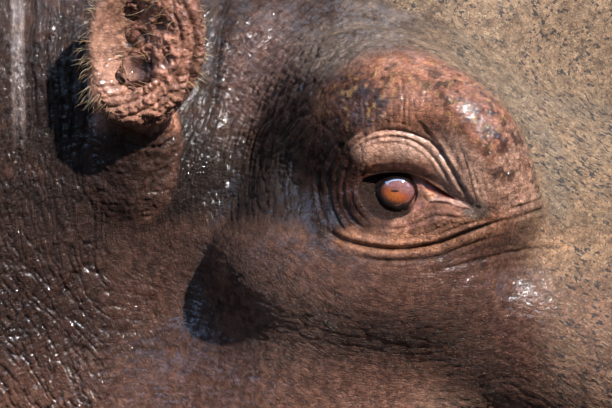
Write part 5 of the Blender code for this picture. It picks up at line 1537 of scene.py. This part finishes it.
# quiet inside the lids, where the ball lies
cut_depth = np.linalg.norm(carved_points - base, axis=1) * 1000
slit = np.full(len(base), 9.0)
i = np.flatnonzero((np.abs(u - 414) < 66) & (np.abs(v - 196) < 34) & (z > -50))
slit[i] = inside_distance(FISSURE, u[i], v[i]) * STEP_MM
h = h * ramp(slit, -0.6, 1.4)
h = h * ramp(base[:, 2], 0.0, 0.03)
skin = carved_points + normal * (h / 1000.0)[:, None]
skin[:, 2] = np.maximum(skin[:, 2], 0.0)
skin_normal = normals_of(skin, tris)
u, v, z = chart(skin)
colour, wet, dry, inside, socket = hide_colours(base, skin_normal, u, v, z, face, ear, h * (face + (1 - face) * 0.4), seam * (1 - face))
nostril = over * ramp(q, 1.2, 0.6)
colour = colour * (1 - 0.75 * nostril)[:, None] * (1 - 0.7 * outer * gap)[:, None]

polar = np.hypot(u - 418, (v - 200)) * STEP_MM / 1000.0
turn = np.arctan2(u - 418, -(v - 200))
flow = np.stack([polar, turn * 0.115, z / 1000.0], 1)
body_flow = np.stack([base[:, 0] * 0.55 - 0.47, base[:, 1] * 0.45 + base[:, 2] * 0.1, base[:, 2] * 0.55 - 0.60], 1)
share = ramp(carved_points[:, 0], 0.80, 0.93)[:, None]        # the head, where the patterns follow the chart
flow = flow * share + body_flow * (1 - share)
level = np.stack([(204 - v) * STEP_MM / 1000.0, u * STEP_MM / 1000.0, z / 1000.0], 1) * share + body_flow * (1 - share)
whole = 1 - ramp(np.abs(turn), math.pi - 0.75, math.pi - 0.20) * share[:, 0]
a = math.radians(33.0)
slant = np.stack([u * math.cos(a) + v * math.sin(a), v * math.cos(a) - u * math.sin(a)], 1) * STEP_MM / 1000.0
slant = np.concatenate([slant, z[:, None] / 1000.0], 1) * share + body_flow * (1 - share)
# how crisp the finest wrinkles are: least on the lids and the dried forehead
lid_zone = ramp(oval(u, v, 405, 158, 54, 26, 12), 1.25, 0.9) * near
wrinkle = (face * (1.0 - 0.75 * lid_zone) + (1 - face) * 0.8) * (1 - 0.55 * dry) * (1 - 0.9 * inside) * (1 - 0.5 * ear)
wrinkle = wrinkle * (0.45 + 0.55 * ramp(clouds(base, 16, 331, 2), -0.45, 0.25))

hide_obj = mesh_object("hide_skin", skin - TO_CAD, tris)
put(hide_obj, "tone", np.concatenate([colour, np.ones((len(colour), 1))], 1), "FLOAT_COLOR")
put(hide_obj, "wet", wet)
put(hide_obj, "dry", dry)
put(hide_obj, "flow", flow, "FLOAT_VECTOR")
put(hide_obj, "level", level, "FLOAT_VECTOR")
put(hide_obj, "whole", whole)
put(hide_obj, "slant", slant, "FLOAT_VECTOR")
put(hide_obj, "wrinkle", wrinkle)
put(hide_obj, "matt", socket)
hide_obj.data.materials.append(hide_material())
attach(hide_obj, "root")
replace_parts(hide_obj, "head", "lower_jaw", "neck", "trunk", "tail", "ear_left", "ear_right",
            *[f"{part}_{which}_{word}" for part in ("leg", "foot") for which in ("front", "hind") for word in ("left", "right")])


# =====================================================================================================
# Eyes
# =====================================================================================================
def eye_material():
    m = Nodes("hippo_eye")
    c = m.attribute("tone", "Color")
    f = m.attribute("flow", "Vector")
    fibres = m.noise(m.scaled(f, (3.0, 38.0, 1.0)), 1.0, 3, 0.6)
    iris = m.attribute("iris")
    c = m.mix(m.math("MULTIPLY", m.span(fibres, 0.35, 0.7), m.math("MULTIPLY", iris, 0.55)), c, (0.10, 0.035, 0.016))
    haze = m.noise(m.add("ShaderNodeTexCoord", out="Object"), 420, 3, 0.6)
    c = m.mix(m.math("MULTIPLY", m.span(haze, 0.45, 0.75), 0.08), c, (0.30, 0.19, 0.16))
    m.set(Base_Color=c, Roughness=m.span(haze, 0.2, 0.8, 0.05, 0.11))
    m.bsdf.inputs["Specular IOR Level"].default_value = 0.6
    m.bsdf.inputs["Coat Weight"].default_value = 1.0
    m.bsdf.inputs["Coat Roughness"].default_value = 0.015
    m.bsdf.inputs["Coat IOR"].default_value = 2.2
    m.set(Normal=m.bump(m.span(m.attribute("lens"), 0.0, 1.0), 0.0002, 0.3))
    return m.mat


def eyeball(side, name):
    """Ball with the clear dome of the cornea; iris, slit pupil and dark ring as painted on its front."""
    gaze = np.array((GAZE[0], abs(GAZE[1]) * side, GAZE[2]))
    right = unit(np.cross((0, 0, 1.0), gaze)) * (1 if side < 0 else -1)      # towards the muzzle in both
    right = right if right[0] > 0 else -right
    upw = unit(np.cross(gaze, right))
    upw = upw if upw[2] > 0 else -upw
    theta = np.concatenate([np.linspace(0, 0.95, 56), np.linspace(0.95, math.pi, 26)[1:]])
    count = 112
    a = np.arange(count) * math.tau / count
    R = EYE_RADIUS * 1000
    bulge = 1.5 * np.clip(1 - (theta / 0.80) ** 2, 0, 1) ** 1.5
    rr = R + bulge
    ring_r, ring_z = rr * np.sin(theta), rr * np.cos(theta) - R - 1.0
    pts = [np.array([[0, 0, ring_z[0]]])]
    for k in range(1, len(theta) - 1):
        pts.append(np.stack([ring_r[k] * np.cos(a), ring_r[k] * np.sin(a), np.full(count, ring_z[k])], 1))
    pts.append(np.array([[0, 0, ring_z[-1]]]))
    q = np.concatenate(pts)
    faces = []
    last = len(q) - 1
    for i in range(count):
        j = (i + 1) % count
        faces.append((0, 1 + i, 1 + j))
        for k in range(len(theta) - 3):
            s, t = 1 + k * count, 1 + (k + 1) * count
            faces += [(s + i, t + i, t + j), (s + i, t + j, s + j)]
        s = 1 + (len(theta) - 3) * count
        faces.append((s + i, last, s + j))
    faces = np.array(faces)
    # colours on the flat view of the ball, in mm towards the muzzle and up
    x, y = q[:, 0], q[:, 1]
    r = np.hypot(x, y)
    front = q[:, 2] > -R
    c = np.tile(tone(58, 36, 30), (len(q), 1))
    lines = 0.5 + 0.5 * np.sin(r * 4.2 + 0.8 * np.sin(y * 0.5))
    c = paint(c, (92, 58, 44), ramp(r, 13.6, 16.0) * lines * 0.6)
    disc = np.hypot((x + 2.1) / 14.7, (y + 1.4) / 11.9)
    c = paint(c, (24, 17, 19), ramp(disc, 1.05, 0.99) * front)
    c = paint(c, (104, 100, 108), np.exp(-((disc - 0.935) / 0.022) ** 2) * ramp(y * 0.7 + x * 0.7, 2, -7) * 0.6 * front)
    ix, iy = (x - 0.35) / 11.5, (y + 1.4) / 8.4
    ir = np.hypot(ix, iy)
    iris = ramp(ir, 1.05, 0.95) * front
    c = paint(c, (176, 84, 46), iris)
    # painted light: the lower-left of the iris, opposite the light, is painted brighter orange where light through the
    # cornea falls on it
    c = paint(c, (224, 118, 50), iris * ramp(np.hypot(ix + 0.30, iy + 0.45), 0.95, 0.15) * 0.85)
    c = paint(c, (104, 48, 34), iris * ramp(ir, 0.70, 0.98) * 0.8)
    # painted reflection: the upper part of the iris is painted grey-mauve for the sky's reflection in the cornea
    painted_sky_reflection = ramp(iy + 0.45 * ix, -0.25, 0.45)
    c = paint(c, (150, 116, 124), iris * painted_sky_reflection * 0.72)
    c = paint(c, (128, 82, 84), iris * ramp(ix, 0.3, 0.9) * ramp(iy, 0.2, -0.5) * 0.45)
    pupil = ramp(np.hypot((x + 1.6) / 3.1, (y + 0.8) / 0.75), 1.15, 0.80)
    c = paint(c, (12, 8, 9), pupil * front)
    for k in range(7):
        x0 = -4.2 + 0.95 * k
        c = paint(c, (72, 40, 40), front * iris * np.exp(-((x - x0 - 0.05 * y) / 0.24) ** 2) * ramp(y, -0.6, 0.2) * ramp(y, 4.4 - 0.5 * abs(k - 3), 1.4) * 0.5)
    at = np.array((EYE_X, side * EYE_HALF_SPAN, EYE_Z))
    world_pts = at + (q[:, :1] * right + q[:, 1:2] * upw + q[:, 2:] * gaze) / 1000.0
    if np.linalg.det(np.stack([right, upw, gaze])) < 0:
        faces = faces[:, ::-1]
    obj = mesh_object(name, world_pts - TO_CAD, faces)
    put(obj, "tone", np.concatenate([np.clip(c, 0.001, 0.9), np.ones((len(c), 1))], 1), "FLOAT_COLOR")
    put(obj, "iris", iris)
    put(obj, "lens", ramp(disc, 1.03, 0.97))
    put(obj, "flow", np.stack([r / 10, np.arctan2(y, x) / math.tau, r * 0], 1), "FLOAT_VECTOR")
    obj.data.materials.append(eye_material())
    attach(obj, "root")
    return obj


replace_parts(eyeball(-1, "eyeball_right"), "eye_right")
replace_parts(eyeball(1, "eyeball_left"), "eye_left")


# =====================================================================================================
# Toenails
# =====================================================================================================
def nail_material():
    m = Nodes("hippo_nail")
    place = m.add("ShaderNodeTexCoord", out="Object")
    grow = m.attribute("grow", "Vector")
    lines = m.noise(m.scaled(grow, (9.0, 1.2, 1.0)), 1.0, 4, 0.6)
    stain = m.noise(place, 130, 4, 0.6)
    c = m.mix(m.span(lines, 0.3, 0.7), (0.060, 0.046, 0.038), (0.150, 0.118, 0.092))
    c = m.mix(m.math("MULTIPLY", m.span(stain, 0.45, 0.7), 0.6), c, (0.185, 0.135, 0.095))
    chips = m.span(m.noise(place, 420, 2, 0.5), 0.60, 0.68)
    c = m.mix(m.math("MULTIPLY", chips, 0.5), c, (0.035, 0.028, 0.025))
    m.set(Base_Color=c, Roughness=m.span(stain, 0.3, 0.75, 0.34, 0.62))
    b = m.bump(lines, 0.0007, 0.8)
    m.set(Normal=m.bump(m.math("ADD", stain, chips), 0.0003, 0.6, b))
    return m.mat


NAIL = (0.013, 0.021, 0.020)
nail_look = nail_material()


def nail(which, word, side, i):
    """Blunt horn cap of one toe: ridged from root to edge, worn flat along its lower edge."""
    tip, way = toe(which, side, i)
    lean = math.radians(24.0)
    up = np.array((-way[0] * math.sin(lean), -way[1] * math.sin(lean), math.cos(lean)))
    across = unit(np.cross(up, way))
    axes = np.stack([np.cross(across, up), across, up], 1)
    at = tip + way * 0.0290 + (0, 0, 0.036)
    rings, around = 22, 36
    a = np.arange(1, rings) * math.pi / rings
    b = np.arange(around) * math.tau / around
    ca, sa = np.repeat(np.cos(a), around), np.repeat(np.sin(a), around)
    cb, sb = np.tile(np.cos(b), rings - 1), np.tile(np.sin(b), rings - 1)
    p = np.concatenate([[(0, 0, 1.0)], np.stack([sa * cb, sa * sb, ca], 1), [(0, 0, -1.0)]])
    seed = {"front": 0, "hind": 40}[which] + 10 * i + (5 if side < 0 else 0)
    ridge = 0.020 * noise(p * (0.6, 7.0, 0.5) + seed, 1.0, 501) + 0.012 * noise(p * 6.0 + seed, 1.0, 502)
    worn = 0.10 * ramp(p[:, 2], -0.50, -0.95)
    front = ramp(p[:, 0], -0.2, 0.3)
    lip = -0.05 * np.exp(-((p[:, 2] - 0.42 + 0.25 * p[:, 1] ** 2) / 0.07) ** 2) * front
    scale = 0.985 - worn + (ridge + lip) * front
    local = p * np.array(NAIL) * np.minimum(scale, 1.02)[:, None]
    local[:, 0] *= 1 + 0.06 * front * (1 - p[:, 1] ** 2)
    faces = [(0, 1 + j, 1 + (j + 1) % around) for j in range(around)]
    for k in range(rings - 2):
        r, q = 1 + k * around, 1 + (k + 1) * around
        for j in range(around):
            n = (j + 1) % around
            faces += [(r + j, q + j, q + n), (r + j, q + n, r + n)]
    r, last = 1 + (rings - 2) * around, len(p) - 1
    faces += [(r + j, last, r + (j + 1) % around) for j in range(around)]
    faces = np.array(faces)
    world_pts = at + local @ axes.T
    if np.linalg.det(axes) < 0:
        faces = faces[:, ::-1]
    obj = mesh_object(f"claw_{which}_{word}_{i + 1}", world_pts - TO_CAD, faces)
    put(obj, "grow", p[:, [1, 2, 0]] + seed, "FLOAT_VECTOR")
    obj.data.materials.append(nail_look)
    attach(obj, "root")
    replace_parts(obj, f"nail_{which}_{word}_{i + 1}")


for which in ("front", "hind"):
    for side, word in ((1, "left"), (-1, "right")):
        for i in range(4):
            nail(which, word, side, i)


# =====================================================================================================
# Bristles: all the hair a hippopotamus has: on the rims of the ears, under the eyes, on the lips and
# at the end of the tail
# =====================================================================================================
def bristle_material():
    m = Nodes("hippo_bristle")
    c = m.attribute("tone", "Color")
    place = m.add("ShaderNodeTexCoord", out="Object")
    n = m.noise(place, 500, 3, 0.6)
    c = m.mix(m.span(n, 0.3, 0.7), m.mix(1.0, c, (0.62, 0.58, 0.52), "MULTIPLY"), m.mix(1.0, c, (1.2, 1.16, 1.1), "MULTIPLY"))
    m.set(Base_Color=c, Roughness=m.span(n, 0.3, 0.7, 0.28, 0.45))
    m.set(Normal=m.bump(m.noise(place, 3000, 2, 0.5), 0.00004, 0.5))
    return m.mat


bristle_look = bristle_material()


def chance(n, seed):
    """n numbers between 0 and 1, always the same for a seed."""
    k = np.arange(n)
    return hashed(k, k * 7 + 3, k * 13 + 5, seed) / 4294967295.0


def unwrapped(p):
    """Flat map of the skin's own shape: along the animal, and round it."""
    return np.stack([(p[:, 0] + 1.75) / 3.6, 0.5 + 0.47 * np.arctan2(p[:, 1], p[:, 2] - 0.80) / math.pi], 1)


def strands(name, roots, ways, lengths, radius, sag, curl, tones, seed):
    """Tapering bristles as one mesh: three sides and seven rings each, closed at both ends."""
    n, rings, sides = len(roots), 7, 3
    t = np.linspace(0, 1, rings)
    ways = ways / np.linalg.norm(ways, axis=1)[:, None]
    across = np.cross(ways, (0.31, 0.22, 0.93))
    across /= np.linalg.norm(across, axis=1)[:, None]
    over = np.cross(across, ways)
    turn_ = chance(n, seed) * math.tau
    wind = turn_[:, None] + (chance(n, seed + 1)[:, None] - 0.5) * 4.0 * t
    L = lengths[:, None]
    spine = (roots - ways * 0.0008)[:, None] + ways[:, None] * (L * t)[..., None]
    spine = spine + (across[:, None] * np.cos(wind)[..., None] + over[:, None] * np.sin(wind)[..., None]) * (L * curl * t ** 2)[..., None]
    spine[..., 2] -= L * sag * t ** 2
    r = radius * (0.6 + 0.8 * chance(n, seed + 2))[:, None] * (1 - 0.86 * t ** 1.5)
    a = np.arange(sides) * math.tau / sides
    p = spine[:, :, None] + (across[:, None, None] * np.cos(a)[:, None] + over[:, None, None] * np.sin(a)[:, None]) * r[..., None, None]
    one = []
    for k in range(rings - 1):
        for j in range(sides):
            q, w = k * sides + j, k * sides + (j + 1) % sides
            one += [(q, w, w + sides), (q, w + sides, q + sides)]
    one += [(0, 2, 1), ((rings - 1) * sides, (rings - 1) * sides + 1, (rings - 1) * sides + 2)]
    each = rings * sides
    faces = (np.array(one)[None] + (np.arange(n) * each)[:, None, None]).reshape(-1, 3)
    obj = mesh_object(name, p.reshape(-1, 3) - TO_CAD, faces)
    uv = np.zeros((n, rings, sides, 2))
    uv += unwrapped(roots)[:, None, None]
    uv[..., 0] += (np.arange(sides) / (sides - 1) - 0.5) * 0.003
    uv[..., 1] += (t[:, None] - 0.5) * 0.003
    layer = obj.data.uv_layers.new(name="OFBake")
    layer.data.foreach_set("uv", uv.reshape(-1, 2)[faces.ravel()].astype(np.float32).ravel())
    shade = np.repeat(tones * (0.75 + 0.5 * chance(n, seed + 3))[:, None], each, axis=0)
    put(obj, "tone", np.concatenate([np.clip(shade, 0.002, 0.9), np.ones((len(shade), 1))], 1), "FLOAT_COLOR")
    obj.data.materials.append(bristle_look)
    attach(obj, "root")
    return obj


def picked(mask, count, seed):
    """Indices of about this many of the masked points, spread by chance."""
    at = np.flatnonzero(mask)
    return at[np.argsort(chance(len(at), seed), kind="stable")[:count]]


def wander(n, seed, by):
    return (np.stack([chance(n, seed), chance(n, seed + 1), chance(n, seed + 2)], 1) - 0.5) * 2 * by


pale, straw, dark = tone(206, 182, 154), tone(198, 160, 112), tone(58, 44, 36)
local = to_head(base)
local[:, 1] = np.maximum(np.abs(local[:, 1]) - HEAD_SPREAD, 0.0)
in_ear = (local - EAR_MIDDLE) @ EAR_AXES
rim_ = np.hypot(in_ear[:, 0] / (EAR_WIDTH / 2), in_ear[:, 2] / (EAR_LENGTH / 2))
for word, side in (("right", -1), ("left", 1)):
    mine = (base[:, 1] * side > 0.0)
    frame_ = EAR_AXES * np.array((1.0, side, 1.0))[:, None]
    on = mine & (ear > 0.7)
    # rim: outwards and a little forwards out of the opening
    back = picked(on & (rim_ > 0.90) & (in_ear[:, 1] > -0.004) & (in_ear[:, 1] < 0.022) & (in_ear[:, 0] < 0.004) & (in_ear[:, 2] > -0.048), 110, 601)
    fore = picked(on & (rim_ > 0.84) & (in_ear[:, 1] > 0.004) & (in_ear[:, 0] > 0.004) & (in_ear[:, 2] > -0.030), 60, 604)
    inner_hair = picked(on & (rim_ < 0.62) & (skin_normal @ (frame_[:, 1]) > 0.2) & (in_ear[:, 0] > -0.020), 46, 607)
    roots, ways, lengths, tones = [], [], [], []
    for k, (at, lo_, hi_, mix_) in enumerate(((back, 0.005, 0.013, 0.3), (fore, 0.004, 0.009, 0.3), (inner_hair, 0.008, 0.020, 0.6))):
        n = len(at)
        out = in_ear[at] * (1, 0, 1)
        out /= np.linalg.norm(out, axis=1)[:, None] + 1e-9
        if k == 2:
            out = np.tile((-0.9, 0.25, 0.35), (n, 1))
        way = (out + (0, 0.35, 0)) @ frame_.T + skin_normal[at] * (0.35 if k < 2 else 0.5) + wander(n, 610 + 5 * k, 0.45)
        roots.append(skin[at])
        ways.append(way)
        lengths.append(lo_ + (hi_ - lo_) * chance(n, 640 + k))
        tones.append(np.where((chance(n, 650 + k) < mix_)[:, None], straw, pale))
    strands(f"ear_hair_{word}", np.concatenate(roots), np.concatenate(ways), np.concatenate(lengths), 0.00020, 0.25, 0.35, np.concatenate(tones), 660)
    # short lashes along the lower lid
    lash = picked(mine & (ear < 0.1) & (face > 0.4) & (np.abs(v - hermite(u, [392, 405, 420, 434], [221, 217.5, 212.5, 208])) < 1.6) & (u > 392) & (u < 434) & (z > -30), 34, 671)
    n = len(lash)
    view_ = np.stack([C_RIGHT, C_UP, C_BACK]) * np.array((1.0, -side, 1.0))
    way = np.tile((0.30, -0.75, 0.55), (n, 1)) @ view_ + wander(n, 673, 0.15)
    strands(f"lash_{word}", skin[lash], way, 0.004 + 0.003 * chance(n, 676), 0.00013, 0.05, 0.15, np.tile(tone(196, 152, 124), (n, 1)), 677)
lip_zone = (head[:, 0] > 0.30) & (np.abs(head[:, 2] - mouth_height(head[:, 0])) > 0.014) & (head[:, 2] < -0.10) & (skin_normal[:, 2] < 0.55)
lip = picked(lip_zone, 300, 681)
n = len(lip)
strands("lip_bristles", skin[lip], skin_normal[lip] + (0.25, 0, -0.35) + wander(n, 683, 0.25), 0.009 + 0.013 * chance(n, 686), 0.00030, 0.25, 0.18,
        np.where((chance(n, 687) < 0.4)[:, None], pale * 0.8, dark), 688)
brush = picked((base[:, 0] < -1.44) & (base[:, 2] < TAIL[-1][1] + 0.13) & (np.abs(base[:, 1]) < 0.08) & (base[:, 2] > TAIL[-1][1] - 0.08) & (base[:, 2] > 0.3), 170, 691)
n = len(brush)
strands("tail_bristles", skin[brush], skin_normal[brush] * 0.5 + (0, 0, -0.8) + wander(n, 693, 0.2), 0.030 + 0.035 * chance(n, 696), 0.00045, 0.25, 0.10,
        np.tile(dark, (n, 1)), 697)
